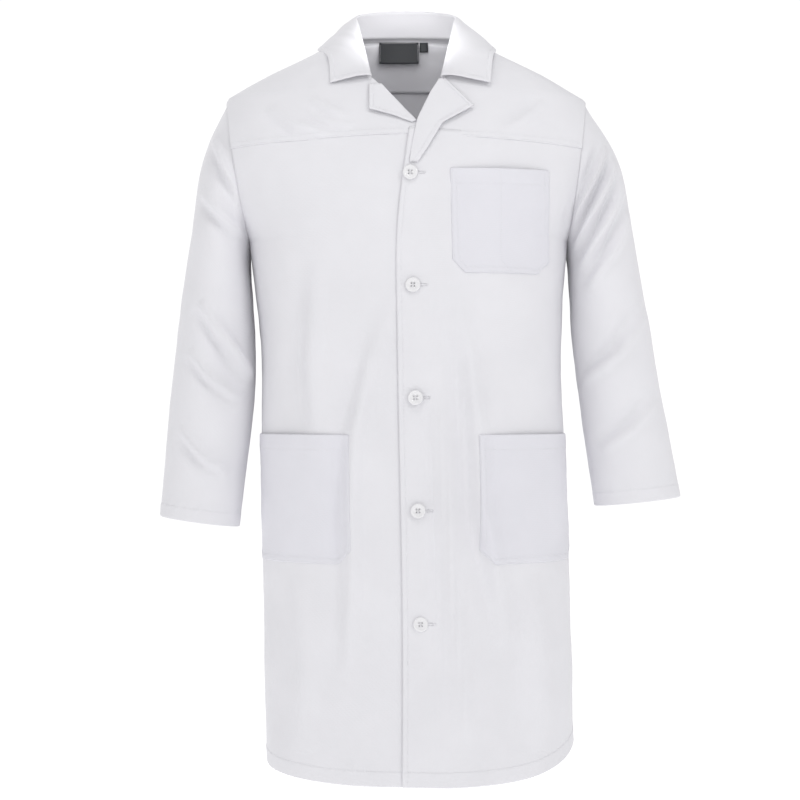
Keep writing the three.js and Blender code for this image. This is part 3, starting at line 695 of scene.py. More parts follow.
def woven(name, color, roughness, pitch, depth, tilt=0.9, sheen=0.12):
    """Twill: slanting ribs crossed by fine yarns, uneven yarn thickness, and slightly uneven white."""
    made, tree, shader = material(name, color, roughness, sheen)
    nodes = tree.nodes
    place = nodes.new("ShaderNodeTexCoord")
    heights = []
    for turn, scale in ((tilt, 1.0), (QUARTER, 0.55)):
        mapping = nodes.new("ShaderNodeMapping")
        mapping.inputs["Rotation"].default_value = (0, 0, turn)
        wave = nodes.new("ShaderNodeTexWave")
        wave.inputs["Scale"].default_value = 1 / (pitch * MM * scale) / 20
        wave.inputs["Distortion"].default_value = 1.2
        wave.inputs["Detail"].default_value = 1
        link(tree, place, "UV", mapping, "Vector")
        link(tree, mapping, "Vector", wave, "Vector")
        heights.append(wave)
    ribs = nodes.new("ShaderNodeMath")
    ribs.operation = "ADD"
    link(tree, heights[0], "Fac", ribs, 0)
    link(tree, heights[1], "Fac", ribs, 1)
    bump = nodes.new("ShaderNodeBump")
    bump.inputs["Strength"].default_value = 0.35
    bump.inputs["Distance"].default_value = depth * MM
    link(tree, ribs, "Value", bump, "Height")
    link(tree, bump, "Normal", shader, "Normal")
    cloud = nodes.new("ShaderNodeTexNoise")
    cloud.inputs["Scale"].default_value = 14
    cloud.inputs["Detail"].default_value = 5
    link(tree, place, "Object", cloud, "Vector")
    two_tone(tree, cloud, shader, color, 0.965, (0.3, 0.7))
    return made


def resin(name, color):
    made, tree, shader = material(name, color, 0.28, coat=0.35)
    swirl = tree.nodes.new("ShaderNodeTexNoise")
    swirl.inputs["Scale"].default_value = 160
    swirl.inputs["Distortion"].default_value = 1.5
    place = tree.nodes.new("ShaderNodeTexCoord")
    link(tree, place, "Object", swirl, "Vector")
    two_tone(tree, swirl, shader, color, 0.92, (0.0, 1.0))
    return made


TWILL = woven("white_twill", (0.765, 0.76, 0.79), 0.86, 0.7, 0.10)
POCKET_TWILL = woven("pocket_twill", (0.735, 0.73, 0.775), 0.86, 0.7, 0.10)
THREAD = woven("sewing_thread", (0.765, 0.76, 0.79), 0.6, 0.4, 0.05)
RESIN = resin("button_resin", (0.83, 0.825, 0.84))
SATIN = woven("label_satin", (0.012, 0.014, 0.018), 0.5, 0.35, 0.03, 0.0, 0.05)
SIZE_SATIN = woven("size_label_satin", (0.02, 0.022, 0.026), 0.5, 0.35, 0.03, 0.0, 0.05)


def finish(obj, motion, slot, *nodes):
    """Gives a piece its motion, its material slot and the CAD nodes it stands for."""
    motion(obj)
    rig.slot(obj, slot)
    if nodes:
        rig.replaces(obj, *nodes)
    return obj


def hung(obj, sheet, hangs_from, pieces=(), share=1.0):
    """Declares a cloth as cut flat to the plain panel's own width, length and area, before its folds."""
    width, length = sheet.cut[0], sheet.cut[1] * share
    area = min(sheet.area * share, width * length)
    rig.sheet(obj, flat=(width, length), held="hung", rests_on=[hangs_from], area=area,
             with_pieces=list(pieces))


def sewn(name, paths, motion):
    return finish(stitches(name, paths, THREAD), motion, "thread")


def cloth(name, sheet, motion, nodes, hangs_from, rows=(), seams=None, weave=None):
    """One cloth piece with its rows of stitches, hung from another piece."""
    fabric, slot = weave or (TWILL, "twill")
    obj = finish(make(name, sheet, fabric), motion, slot, *nodes)
    seams = seams or name.replace("_cloth", "") + "_stitches"
    pieces = [sewn(seams, rows, motion)] if rows else []
    hung(obj, sheet, hangs_from, pieces)


# ---------- fronts ----------
# The edge of each front, as across by height.
FRONT_EDGE = {
    "left": profile((HEM_Z, -25), (-830, -20), (-420, -18), (-300, -16), (-205, -4), (-150, 5)),
    "right": profile((HEM_Z, 26), (-205, 24), (-150, 16)),
}
FRONT_TOP = {"middle": -158.0, "armhole": -175.0}


def front_seam(angle):
    return lerp(FRONT_TOP["middle"], FRONT_TOP["armhole"], np.abs(np.sin(angle)))


def front_outer(z, inset=0.4):
    between = (z > ARMPIT_Z) & (z < SHOULDER_Z)
    return np.where(between, np.minimum(front_angle(armhole_x(z) - inset, z), QUARTER), QUARTER)


def back_outer(z, inset=0.4):
    between = (z > ARMPIT_Z) & (z < SHOULDER_Z)
    return np.where(between, np.maximum(back_angle(armhole_x(z) - inset, z), QUARTER), QUARTER)


def off_body(height):
    """The same height off the body everywhere."""
    return lambda P: height + 0 * P[..., 0]


def body_sheet(us, vs, inner, outer, low, high, height):
    """A sheet on the body between two edges, given as angles by height, and two by angle."""
    u, v = np.meshgrid(us, vs)
    z = lerp(-1000.0, -160.0, v)
    angle = lerp(inner(z), outer(z), u)
    for _ in range(3):
        z = lerp(low(angle), high(angle), v)
        angle = lerp(inner(z), outer(z), u)
    N = body_normal(angle, z)
    P = body_point(angle, z)
    return Sheet(P + N * height(P)[..., None], N)


def front_height(name):
    if name == "left":
        return lambda P: lerp(3.4, 0.5, smooth(P[..., 0], 34, 100)) - 1.6 * (1 - smooth(P[..., 0], -18, -8))
    return off_body(0.5)


def make_front(name):
    side = SIDES[name]
    edge = FRONT_EDGE[name]
    width = 225 + side * float(edge(-700)) * -1
    us = steps(width, fine=(0, EDGE_STITCH, FACING_EDGE))
    vs = steps(860, fine=(0, HEM_BAND))
    sheet = body_sheet(us, vs, lambda z: front_angle(edge(z), z), lambda z: side * front_outer(z),
                       hem_height, lambda a: front_seam(a) + 4, front_height(name))
    sheet.drape(still=("end",))
    sheet.band("start", EDGE_STITCH, 11 + side, pucker=0.45)
    sheet.band("low", HEM_BAND, 21 + side, pucker=0.6)
    sheet.raise_by(0.35 * np.exp(-(((sheet.edge["start"] - FACING_EDGE) / 1.6) ** 2)))
    rows = [row_along(sheet, "start", EDGE_STITCH, 4), row_along(sheet, "low", HEM_BAND)]
    nodes = (f"{name}_front_panel", f"{name}_front_opening")
    cloth(f"{name}_front", sheet, front_blend(name), nodes, f"{name}_yoke", rows)
    return sheet


def make_facing(name):
    """The doubled inside of a front's edge."""
    side = SIDES[name]
    edge = FRONT_EDGE[name]
    reach = 58.0
    depth = 1.9 if name == "left" else -1.0
    sheet = body_sheet(steps(reach), steps(860, 8), lambda z: front_angle(edge(z) + side * 1.5, z),
                       lambda z: front_angle(edge(z) + side * reach, z), lambda a: hem_height(a) + 2,
                       front_seam, lambda P: depth - 0.4 * smooth(P[..., 0] * side, 20, 60))
    sheet.drape()
    cloth(f"{name}_front_facing", sheet, front_blend(name), (f"{name}_facing",), f"{name}_front")


# The neckline of each front's yoke, as across by height; the left front lies over the right one.
NECK_EDGE = {
    "left": profile((-178, 5), (-141, 17), (-110, 33), (-82, 48), (-58, 68), (-40, 79), (-18, 88)),
    "right": profile((-178, 20), (-144, 14), (-120, -9), (-92, -35), (-66, -62), (-40, -79), (-18, -88)),
}


def make_yoke(name):
    side = SIDES[name]
    neck = NECK_EDGE[name]

    def height(P):
        near = 1 - smooth(np.abs(P[..., 0] - 5), 20, 70)
        return 1.3 + (2.6 if name == "left" else 0.0) * near

    us, vs = steps(215, 4.0, fine=(0,)), steps(150, 3.5, fine=(0,))
    sheet = body_sheet(us, vs, lambda z: front_angle(neck(z), z), lambda z: side * front_outer(z),
                       lambda a: front_seam(a) - 4, lambda a: -16.0 + 0 * a, height)
    sheet.drape(still=("end",))
    sheet.seam("low", 31 + side)
    rows = [row_along(sheet, "low", far, 3) for far in TOPSTITCH]
    cloth(f"{name}_yoke", sheet, front_blend(name), (f"{name}_front_yoke",), "back_yoke_cloth", rows)


# ---------- lapels and collar ----------
# Each lapel lies between its roll and its outline, both as (share from foot to top, across, height).
LAPELS = {
    "left": {
        "roll": ((0, 5, -202), (0.2, 8, -181), (0.5, 17, -141), (0.8, 34, -104), (1, 46, -84)),
        "outline": ((0, 14, -202), (0.2, 29, -181), (0.5, 49, -149), (0.8, 91, -125), (1, 52, -84)),
        "off": (4.6, 2.6),
    },
    "right": {
        "roll": ((0, 13, -145), (0.3, 1, -132), (0.65, -18, -111), (1, -35, -91)),
        "outline": ((0, 8, -147), (0.3, -16, -138), (0.65, -50, -129), (1, -50, -91)),
        "off": (2.2, 2.2),
    },
}
ROLL_RADIUS = 1.3


def along_outline(stations, share):
    t, x, z = np.array(stations, float).T
    return np.interp(share, t, x), np.interp(share, t, z)


def make_lapel(name):
    side = SIDES[name]
    shape = LAPELS[name]
    corner = shape["outline"][-2][0]
    vs = np.unique(np.concatenate([np.linspace(0, corner, 34), np.linspace(corner, 1, 16)]))
    turn = np.linspace(0, math.pi, 7)[:-1]
    flat = np.linspace(0, 1, 22)
    across = np.concatenate([0 * turn, flat])
    round_it = np.concatenate([turn, np.full(len(flat), math.pi)])
    u, v = np.meshgrid(across, vs)
    phi, _ = np.meshgrid(round_it, vs)
    x0, z0 = along_outline(shape["roll"], v)
    x1, z1 = along_outline(shape["outline"], v)
    low, high = shape["off"]
    off = lerp(low, high, v) + ROLL_RADIUS * (1 - np.cos(phi)) / 2
    off = off + 1.6 * np.sin(math.pi * np.minimum(u, 0.55)) * np.sin(math.pi * v) ** 0.5
    off = off + 1.5 * smooth(u, 0.8, 1.0) * smooth(v, 0.1, 0.6)
    x = lerp(x0, x1, u) - side * ROLL_RADIUS * np.sin(phi)
    P = on_front(x, lerp(z0, z1, u), off)
    sheet = Sheet(P, body_normal(front_angle(x, P[..., 2]), P[..., 2]))
    sheet.drape()
    sheet.band("end", EDGE_STITCH, 41 + side, pucker=0.35)
    rows = [row_along(sheet, "end", EDGE_STITCH, 3)]
    cloth(f"{name}_lapel_cloth", sheet, front_blend(name), (f"{name}_lapel",), f"{name}_yoke", rows)


def mirrored(points, narrow=1.0):
    """A curve from the left front round the back to the right front."""
    other = [(-x * (narrow if k > 2 else 1), y, z) for k, (x, y, z) in enumerate(points[1:], 1)]
    return spline(list(points)[::-1] + other)


def front_point(x, z, height):
    return tuple(float(c) for c in on_front(x, z, height))


def body_spot(degrees, z, height):
    angle, level = np.array(math.radians(degrees)), np.array(float(z))
    return tuple(float(c) for c in body_point(angle, level) + body_normal(angle, level) * height)


neck_line = mirrored([(0, 65, 2.5), (48, 50, -0.5), (82, 10, -9.5), (80, -28, -21.5),
                      front_point(66, -62, 2.5), front_point(50, -84, 2.0)])
fold_line = mirrored([(0, 52, 40), (42, 40, 36), (68, 6, 24), (66, -32, 4), (57, -70, -36),
                      front_point(47, -82, 6.0)])
leaf_edge = mirrored([body_spot(180, -24, 5), body_spot(145, -27, 5), body_spot(95, -30, 5),
                      front_point(118, -54, 4.2), front_point(114, -92, 4.2)], 0.9)


def ruled(us, vs, low, high, lift):
    u, v = np.meshgrid(us, vs)
    P = lerp(low(u), high(u), v[..., None])
    N = grid_normals(P, False)
    outward = P - np.array([0.0, 0.0, -60.0])
    N = N * np.sign(np.sum(N * outward))
    return Sheet(P + N * lift(u, v)[..., None], N)


def make_collar():
    stand = ruled(np.linspace(0, 1, 100), steps(42, 4), neck_line, fold_line, lambda u, v: 0 * v)
    stand.raise_by(0.5 * noise(stand.u / 30, stand.v / 18, 50))
    cloth("collar_stand_cloth", stand, rides("root"), ("collar_stand",), "back_yoke_cloth")

    def lift(u, v):
        turn = np.sqrt(np.maximum(0, 1 - np.clip((v - 0.84) / 0.16, 0, 1) ** 2))
        sides = np.abs(2 * u - 1)
        ends = smooth(sides, 0.55, 0.95)
        return 3.4 * turn + 3.0 * np.sin(math.pi * v) * (1 - 0.3 * ends) * turn

    vs = np.unique(np.concatenate([steps(72, 3.5, fine=(0,)), np.linspace(0.82, 1, 14)]))
    us = steps(560, 4.0, fine=(0, 560))
    leaf = ruled(us, vs, leaf_edge, fold_line, lift)
    wave = 0.9 * noise(leaf.u / 36, leaf.v / 26, 51) + 0.5 * noise(leaf.u / 15, leaf.v / 34, 52)
    leaf.raise_by(wave * smooth(leaf.edge["high"], 4, 16))
    for number, edge in enumerate(("low", "start", "end")):
        leaf.band(edge, EDGE_STITCH, 53 + number, pucker=0.35)
    rows = [row_along(leaf, edge, EDGE_STITCH, 7) for edge in ("low", "start", "end")]
    cloth("collar_leaf_cloth", leaf, rides("root"), ("collar_leaf",), "collar_stand_cloth", rows,
          "collar_stitches")


# ---------- back ----------
BACK_SEAM, VENT_TOP, VENT_WIDTH = -150.0, -720.0, 46.0


def back_neck(angle):
    return lerp(-14.0, -2.0, np.abs(np.cos(angle)) ** 2)


def make_back_yoke():
    us, vs = steps(600, 5), steps(150, 4, fine=(0,))
    around = 2 * math.pi
    sheet = body_sheet(us, vs, back_outer, lambda z: around - back_outer(z),
                       lambda a: BACK_SEAM - 4 + 0 * a, back_neck, off_body(1.2))
    sheet.drape(still=("start", "end"))
    sheet.seam("low", 61)
    rows = [row_along(sheet, "low", far, 3) for far in TOPSTITCH]
    cloth("back_yoke_cloth", sheet, rides("root"), ("back_yoke",), "collar_stand_cloth", rows)


def make_back(name):
    """The right back carries on under the vent; the left one ends at the vent's fold."""
    side = SIDES[name]

    def middle(z):
        return np.full(np.shape(z), math.pi)

    def vent(z):
        open_part = 1 - smooth(z, VENT_TOP - 1, VENT_TOP + 6)
        return lerp(math.pi, back_angle(VENT_WIDTH + 0.5, z), open_part)

    inner = vent if side > 0 else middle
    us, vs = steps(225, 5, fine=(0,)), steps(890, 5, fine=(0, HEM_BAND))
    sheet = body_sheet(us, vs, lambda z: side * back_outer(z), lambda z: side * inner(z),
                       hem_height, lambda a: BACK_SEAM + 3 + 0 * a, off_body(0.5))
    sheet.drape(still=("start",))
    sheet.band("low", HEM_BAND, 63 + side, pucker=0.5)
    rows = [row_along(sheet, "low", HEM_BAND)]
    cloth(f"{name}_back", sheet, rides("root"), (f"{name}_back_panel",), "back_yoke_cloth", rows)


def make_vent():
    """The vent's upper flap swings about its upright fold on the left back."""
    lap = 12.0
    u, v = np.meshgrid(steps(VENT_WIDTH + lap, 4, fine=(VENT_WIDTH + lap,)), steps(320, 5, fine=(0,)))
    z = lerp(HEM_Z, VENT_TOP + 14, v)
    x = lerp(VENT_WIDTH, -lap, u)
    angle = np.where(x < 0, 2 * math.pi, 0) + back_angle(x, z)
    N = body_normal(angle, z)
    off = lerp(0.7, 2.2, smooth(u, 0, 0.3)) - 2.4 * smooth(z, VENT_TOP - 14, VENT_TOP + 2)
    sheet = Sheet(body_point(angle, z) + N * off[..., None], N)
    sheet.drape()
    sheet.band("low", HEM_BAND, 65, pucker=0.5)
    sheet.band("end", EDGE_STITCH, 67)
    rows = [row_along(sheet, "low", HEM_BAND), row_along(sheet, "end", EDGE_STITCH, 4)]
    cloth("back_vent_cloth", sheet, rides("back_vent"), ("back_vent_flap",), "left_back", rows)


def make_neck_facing():
    spread = math.radians(52)
    sheet = body_sheet(steps(150, 4), steps(70, 4), lambda z: math.pi - spread + 0 * z,
                       lambda z: math.pi + spread + 0 * z, lambda a: -70 + 0 * a,
                       lambda a: back_neck(a) - 1, off_body(-2.3))
    sheet.raise_by(0.5 * noise(sheet.u / 22, sheet.v / 30, 70))
    cloth("back_neck_facing_cloth", sheet, rides("root"), ("back_neck_facing",), "back_yoke_cloth")


# ---------- pockets ----------
CHEST_POCKET = {"inner": 58, "width": 134, "top": -210, "height": 140, "chamfer": 17}
LOWER_POCKET = {"inner": 86, "top": -569, "height": 174, "chamfer": 19}
POCKET_BAND = 20.0
POCKET_ROOM = 5.0


def make_pocket(name, side, pocket, outer, node):
    top, bottom = pocket["top"], pocket["top"] - pocket["height"]
    us, vs = steps(130, 4, fine=(0, 130)), steps(pocket["height"], 4, fine=(0, pocket["height"]))
    vs = np.unique(np.append(vs, pocket["chamfer"] / pocket["height"]))
    u, v = np.meshgrid(us, vs)
    z = lerp(bottom, top, v)
    inset = np.maximum(0, pocket["chamfer"] - (z - bottom))
    angle = side * lerp(front_angle(pocket["inner"] + inset, z), outer(z, inset), u)
    room = POCKET_ROOM * np.sin(math.pi * u) ** 0.8 * smooth(v, 0, 1.1)
    under = front_height("left" if side > 0 else "right")(body_point(angle, z))
    height = 0.9 + under + room + 0.5 * noise(u * 5, v * 6, 80 + side)
    N = body_normal(angle, z)
    sheet = Sheet(body_point(angle, z) + N * height[..., None], N)
    sheet.drape()
    for number, edge in enumerate(("start", "end", "low")):
        sheet.seam(edge, 81 + 3 * number + side, 0.25)
    sheet.band("high", POCKET_BAND, 95 + side, pucker=0.3)
    rows = [row_along(sheet, edge, far, 2) for edge in ("start", "end", "low") for far in TOPSTITCH]
    rows.append(row_along(sheet, "high", POCKET_BAND, 2))
    if node == "chest_pocket":
        rows.append(row_along(sheet, "start", pocket["width"] * 0.51, 2))
    under = "left_front" if side > 0 else "right_front"
    cloth(name, sheet, rides("root"), (node,), under, rows, f"{name}_stitches",
          (POCKET_TWILL, "pocket_twill"))


def make_pockets():
    far_edge = CHEST_POCKET["inner"] + CHEST_POCKET["width"]
    make_pocket("chest_pocket_cloth", 1, CHEST_POCKET, lambda z, inset: front_angle(far_edge - inset, z),
                "chest_pocket")
    for name, side in SIDES.items():
        make_pocket(f"{name}_lower_pocket_cloth", side, LOWER_POCKET,
                    lambda z, inset: QUARTER - (6 + inset) / 150, f"{name}_lower_pocket")


# ---------- sleeves ----------
SLEEVES = {
    "left": {
        "outer": ((299, -183), (321, -294), (353, -478), (385, -657)),
        "inner": ((229, -330), (232, -380), (238, -470), (266, -670)),
    },
    "right": {
        "outer": ((287, -183), (304, -294), (328, -478), (345, -684)),
        "inner": ((221, -330), (217, -390), (212, -488), (235, -699)),
    },
}
sleeve_half_depth = profile((0, ARMHOLE_HALF_DEPTH), (0.45, 78), (0.75, 66), (1, 48))
CUFF_FORWARD = 26.0
SLEEVE_SPLIT = 0.62  # where the piece that bends at the shoulder meets the one that bends at the elbow
AROUND = 84
SLEEVE_TUCK = 2.0  # the sleeve starts this far inside the body's edge


def make_sleeve(name):
    side = SIDES[name]

    def line(x, z, points):
        start = (x - SLEEVE_TUCK + side * float(drift(z)), 0, z)
        return spline([start] + [(px, 0, pz) for px, pz in points])

    outer = line(SHOULDER_X, SHOULDER_Z, SLEEVES[name]["outer"])
    inner = line(ARMPIT_X, ARMPIT_Z, SLEEVES[name]["inner"])
    shares = steps(600, 5, fine=(0, 600 - CUFF_BAND, 600))
    around, share = np.meshgrid(np.linspace(0, 2 * math.pi, AROUND + 1), shares)
    far, near = outer(share), inner(share)
    middle, arm = (far + near) / 2, (far - near) / 2
    P = middle + arm * np.cos(around)[..., None]
    P[..., 1] = -side * np.sin(around) * sleeve_half_depth(share) - CUFF_FORWARD * share**2
    P[..., 0] *= side
    N = grid_normals(P, True)
    N *= np.sign(np.sum(N * (P - middle * np.array([side, 1, 1]))))
    sheet = Sheet(P, N, closed=True)
    loose = smooth(sheet.edge["low"], 0, SLEEVE_CALM)
    sheet.raise_by(drape(sheet.P, sheet.N) * loose)
    sheet.band("high", CUFF_BAND, 97 + side, pucker=0.75)
    sheet.raise_by(-0.5 * np.exp(-((sheet.edge["low"] / 3.0) ** 2)))
    split = int(np.searchsorted(shares, SLEEVE_SPLIT))
    upper = make(f"{name}_sleeve_upper", sheet, TWILL, slice(0, split + 1), keep_normals=True)
    lower = make(f"{name}_sleeve_lower", sheet, TWILL, slice(split, None), keep_normals=True)
    finish(upper, shoulder_blend(name), "twill", f"{name}_upper_sleeve")
    finish(lower, elbow_blend(name), "twill", f"{name}_lower_sleeve")
    seams = sewn(f"{name}_cuff_stitches", [row_along(sheet, "high", CUFF_BAND)], elbow_blend(name))
    hung(upper, sheet, f"{name}_yoke", share=float(shares[split]))
    hung(lower, sheet, f"{name}_sleeve_upper", [seams], share=1 - float(shares[split]))


# ---------- buttons and buttonholes ----------
def button_frame(x, z):
    """Where a point of the front is, and its across, up and out directions."""
    angle, level = np.array(float(front_angle(x, z))), np.array(float(z))
    out = body_normal(angle, level)
    across = np.cross(np.array([0.0, 0.0, 1.0]), out)
    across /= np.linalg.norm(across)
    return body_point(angle, level), across, np.cross(out, across), out


def set_on_front(obj, x, z, height):
    place, across, up, out = button_frame(x, z)
    turn = Matrix([[across[r], up[r], out[r]] for r in range(3)]).to_4x4()
    obj.data.transform(Matrix.Translation(Vector((place + out * height) * MM)) @ turn)


def button_mesh():
    """A dished four-hole button with a rounded rim."""
    edge = BUTTON_RADIUS
    outline = [(0, 0), (edge - 1.6, 0), (edge - 0.5, 0.4), (edge, 1.3), (edge - 0.15, 2.3),
               (edge - 0.9, 2.9), (edge - 1.8, 3.0), (edge - 2.8, 2.6), (edge - 3.8, 2.05), (0, 1.9)]
    count = 56
    vertices, faces = [(0, 0, outline[0][1])], []
    for radius, height in outline[1:-1]:
        for k in range(count):
            angle = 2 * math.pi * k / count
            vertices.append((radius * math.cos(angle), radius * math.sin(angle), height))
    vertices.append((0, 0, outline[-1][1]))
    rings = len(outline) - 2
    for k in range(count):
        nxt = (k + 1) % count
        faces.append([0, 1 + nxt, 1 + k])
        for r in range(rings - 1):
            a, b = 1 + r * count, 1 + (r + 1) * count
            faces.append([a + k, a + nxt, b + nxt, b + k])
        last = 1 + (rings - 1) * count
        faces.append([last + k, last + nxt, len(vertices) - 1])
    disc = new_object("button_blank", vertices, faces, None, RESIN)
    for k in range(4):
        angle = math.pi / 4 + k * QUARTER
        spot = (HOLE_CIRCLE * math.cos(angle) * MM, HOLE_CIRCLE * math.sin(angle) * MM, 0)
        bpy.ops.mesh.primitive_cylinder_add(vertices=20, radius=HOLE_RADIUS * MM, depth=0.02, location=spot)
        drill = bpy.context.object
        cut = disc.modifiers.new("hole", "BOOLEAN")
        cut.operation, cut.object, cut.solver = "DIFFERENCE", drill, "EXACT"
        bpy.context.view_layer.update()
        done = bpy.data.meshes.new_from_object(disc.evaluated_get(bpy.context.evaluated_depsgraph_get()))
        disc.modifiers.clear()
        disc.data = done
        bpy.data.objects.remove(drill)
    finished = disc.data
    bpy.data.objects.remove(disc)
    return finished


def make_buttons():
    blank = button_mesh()
    for index in range(BUTTON_COUNT):
        z = FIRST_BUTTON - index * BUTTON_PITCH
        button = bpy.data.objects.new(f"button_{index + 1}_resin", blank.copy())
        bpy.context.collection.objects.link(button)
        set_on_front(button, BUTTON_X, z, BUTTON_BACK)
        finish(button, rides(f"{BUTTON_NAMES[index]}_button"), "button_resin", f"button_{index + 1}")
        place, across, up, out = button_frame(BUTTON_X, z)
        starts, ends = [], []
        for row in (-1, 1):
            for shift in (-0.8, 0.0, 0.8):
                at = place + up * (row * HOLE_CIRCLE * 0.71 + shift * 0.45) + out * (BUTTON_BACK + 2.45)
                starts.append(at - across * HOLE_CIRCLE * 0.71)
                ends.append(at + across * HOLE_CIRCLE * 0.71)
        for turn in range(SHANK_WRAPS):
            angle = 2 * math.pi * turn / SHANK_WRAPS
            spot = place + (across * math.cos(angle) + up * math.sin(angle)) * SHANK_RADIUS
            starts.append(spot + out * 0.9)
            ends.append(spot + out * (BUTTON_BACK - 0.3))
        starts, ends = np.array(starts), np.array(ends)
        outs = np.tile(out, (len(starts), 1))
        outs[-SHANK_WRAPS:] = starts[-SHANK_WRAPS:] - (place + out * 0.9)
        outs[-SHANK_WRAPS:] /= np.linalg.norm(outs[-SHANK_WRAPS:], axis=1, keepdims=True)
        shank = bars(f"button_{index + 1}_thread", starts, ends, outs, 0.34, THREAD)
        finish(shank, rides("right_front"), "thread", f"button_thread_{index + 1}")


def make_buttonholes(front):
    """Close satin stitching round each slit, which runs from the button towards the wearer's left."""
    half, inner, outer_edge, count = 10.5, 0.7, 2.5, 92
    starts, ends, outs = [], [], []
    surface = front.outer().reshape(-1, 3)
    normals = front.N.reshape(-1, 3)
    for index in range(BUTTON_COUNT):
        z = FIRST_BUTTON - index * BUTTON_PITCH
        place, across, up, out = button_frame(BUTTON_X + 9.0, z)
        for k in range(count):
            angle = 2 * math.pi * k / count
            flat = np.clip(1.35 * math.cos(angle), -1, 1) * (half - inner)
            round_it = np.array([math.cos(angle), math.sin(angle)])
            points = []
            for radius in (inner, outer_edge):
                spot = place + across * (flat + radius * round_it[0] * 0.8) + up * radius * round_it[1]
                near = np.argmin(np.sum((surface - spot - out * 3.4) ** 2, axis=1))
                lift = float((surface[near] - spot) @ out)
                points.append(spot + out * (lift + 0.15))
            starts.append(points[0])
            ends.append(points[1])
            outs.append(normals[near])
    obj = bars("buttonhole_stitches", np.array(starts), np.array(ends), np.array(outs), 0.3, THREAD)
    finish(obj, front_blend("left"), "thread")


# ---------- labels ----------
def make_label(name, node, cloth, slot, body):
    low, high = (np.array(corner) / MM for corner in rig.box(node))
    us, vs = steps(high[0] - low[0], 2.5), steps(high[2] - low[2], 2.5)
    u, v = np.meshgrid(us, vs)
    x, z = lerp(low[0], high[0], u), lerp(low[2], high[2], v)
    y = high[1] - 0.6 - 0.5 * np.sin(math.pi * u) - 0.7 * (1 - v) * (0.5 + 0.5 * noise(u * 3, v * 2, 99))
    sheet = Sheet(np.stack([x, y, z], -1), np.broadcast_to([0.0, -1.0, 0.0], (*x.shape, 3)).copy())
    sheet.thickness[:] = 0.45
    sheet.raise_by(0 * x)  # takes the ways out from the bent grid
    obj = finish(make(name, sheet, cloth), rides(body), slot, node)
    size = (float(high[0] - low[0]) * MM, float(high[2] - low[2]) * MM)
    return sheet, obj, size


def make_labels():
    sheet, label, size = make_label("neck_label_satin", "neck_label", SATIN, "label_satin", "root")
    rows = [row_along(sheet, edge, 1.2, 1) for edge in ("high", "start", "end")]
    seams = sewn("neck_label_stitches", rows, rides("root"))
    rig.sheet(label, flat=size, held="hung", rests_on=["back_neck_facing_cloth"], with_pieces=[seams])
    _, tag, size = make_label("size_label_satin", "size_label", SIZE_SATIN, "label_white", "size_tag")
    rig.sheet(tag, flat=size, held="hung", rests_on=["back_neck_facing_cloth"])


# ---------- the whole coat ----------
fronts = {side_name: make_front(side_name) for side_name in SIDES}
for side_name in SIDES:
    make_facing(side_name)
    make_yoke(side_name)
    make_lapel(side_name)
    make_back(side_name)
    make_sleeve(side_name)
make_collar()
make_back_yoke()
make_neck_facing()
make_vent()
make_pockets()
make_buttons()
make_buttonholes(fronts["left"])
make_labels()


# ---------- floor, light and camera ----------
FLOOR_Z, FLOOR_HALF_SIZE, FLOOR_GLOW = -1.5, 12.0, 0.45
SURROUND_SEEN, SURROUND_LIT = 1.05, 0.64
COAT_MIDDLE = (0.0, 0.0, -0.5)
CAMERA_PLACE, CAMERA_LENS = (-0.0085, -2.8, -0.522), 88.7
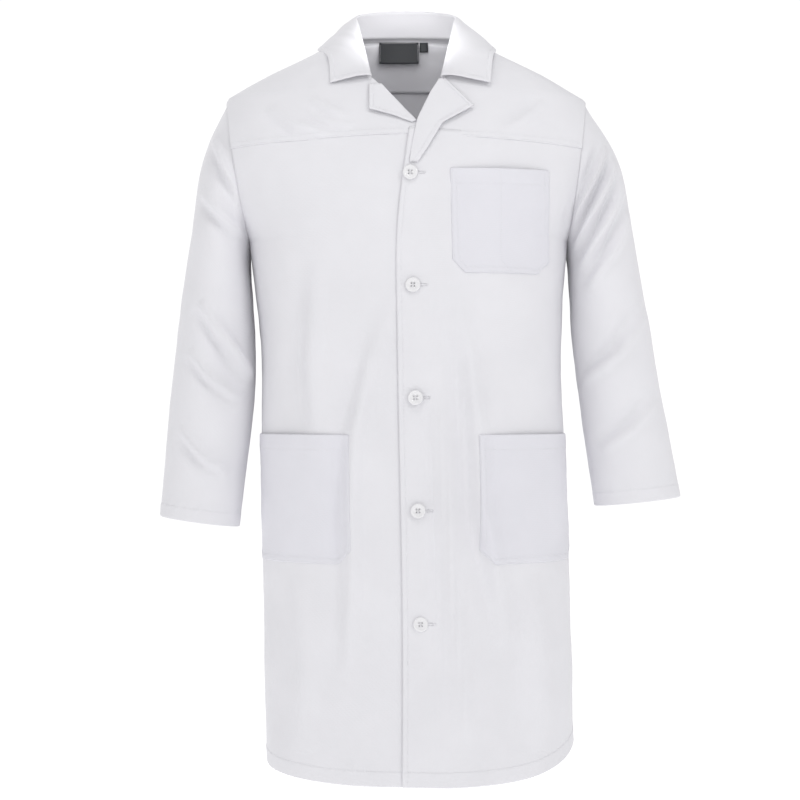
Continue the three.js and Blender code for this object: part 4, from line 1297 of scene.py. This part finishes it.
# Each light is its name, place, size and power, and the spot that it points at.
LIGHTS = (
    ("key", (1.9, -2.1, 1.2), 0.8, 14.5, COAT_MIDDLE),
    ("fill", (-2.8, -2.4, 0.6), 1.8, 10, COAT_MIDDLE),
    ("top", (0.0, -0.9, 1.1), 0.5, 4, COAT_MIDDLE),
    ("inside_neck", (0.0, -0.10, -0.01), 0.08, 0.1, (0.0, 0.07, -0.02)),
    ("back", (-1.4, 2.4, 1.2), 1.6, 18, COAT_MIDDLE),
)


def make_floor():
    paper, _, shader = material("studio_paper", (0.95, 0.95, 0.96), 0.9)
    shader.inputs["Emission Color"].default_value = (1, 1, 1, 1)
    shader.inputs["Emission Strength"].default_value = FLOOR_GLOW
    half = FLOOR_HALF_SIZE / MM
    corners = [(x * half, y * half, FLOOR_Z / MM) for x, y in ((-1, -1), (1, -1), (1, 1), (-1, 1))]
    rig.stage(new_object("floor", corners, [[0, 1, 2, 3]], None, paper))


def make_light(name, place, size, power, target):
    lamp = bpy.data.lights.new(name, "AREA")
    lamp.shape, lamp.size, lamp.energy = "DISK", size, power
    obj = bpy.data.objects.new(name, lamp)
    bpy.context.collection.objects.link(obj)
    obj.location = place
    aim = Vector(target) - Vector(place)
    obj.rotation_euler = aim.to_track_quat("-Z", "Y").to_euler()


def make_world(seen, lit):
    """A white surround that is brighter where it is seen than as a light on the coat."""
    world = bpy.data.worlds.new("studio")
    bpy.context.scene.world = world
    world.use_nodes = True
    tree = world.node_tree
    sky = tree.nodes["Background"]
    sky.inputs["Color"].default_value = (1, 1, 1, 1)
    path = tree.nodes.new("ShaderNodeLightPath")
    strength = tree.nodes.new("ShaderNodeMapRange")
    strength.inputs["To Min"].default_value = lit
    strength.inputs["To Max"].default_value = seen
    link(tree, path, "Is Camera Ray", strength, "Value")
    link(tree, strength, "Result", sky, "Strength")


make_floor()
make_world(SURROUND_SEEN, SURROUND_LIT)
for light in LIGHTS:
    make_light(*light)
bpy.context.scene.view_settings.view_transform = "Standard"

camera_data = bpy.data.cameras.new("camera")
camera_data.lens = CAMERA_LENS
camera = bpy.data.objects.new("camera", camera_data)
camera.location = CAMERA_PLACE
camera.rotation_euler = (QUARTER, 0, 0)
bpy.context.collection.objects.link(camera)
bpy.context.scene.camera = camera

with open("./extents.json", "w") as out:
    json.dump({"cad": [[float(c) for c in corner] for corner in cad_box],
               "visual": [[float(c) for c in corner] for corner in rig.bounds()]}, out)
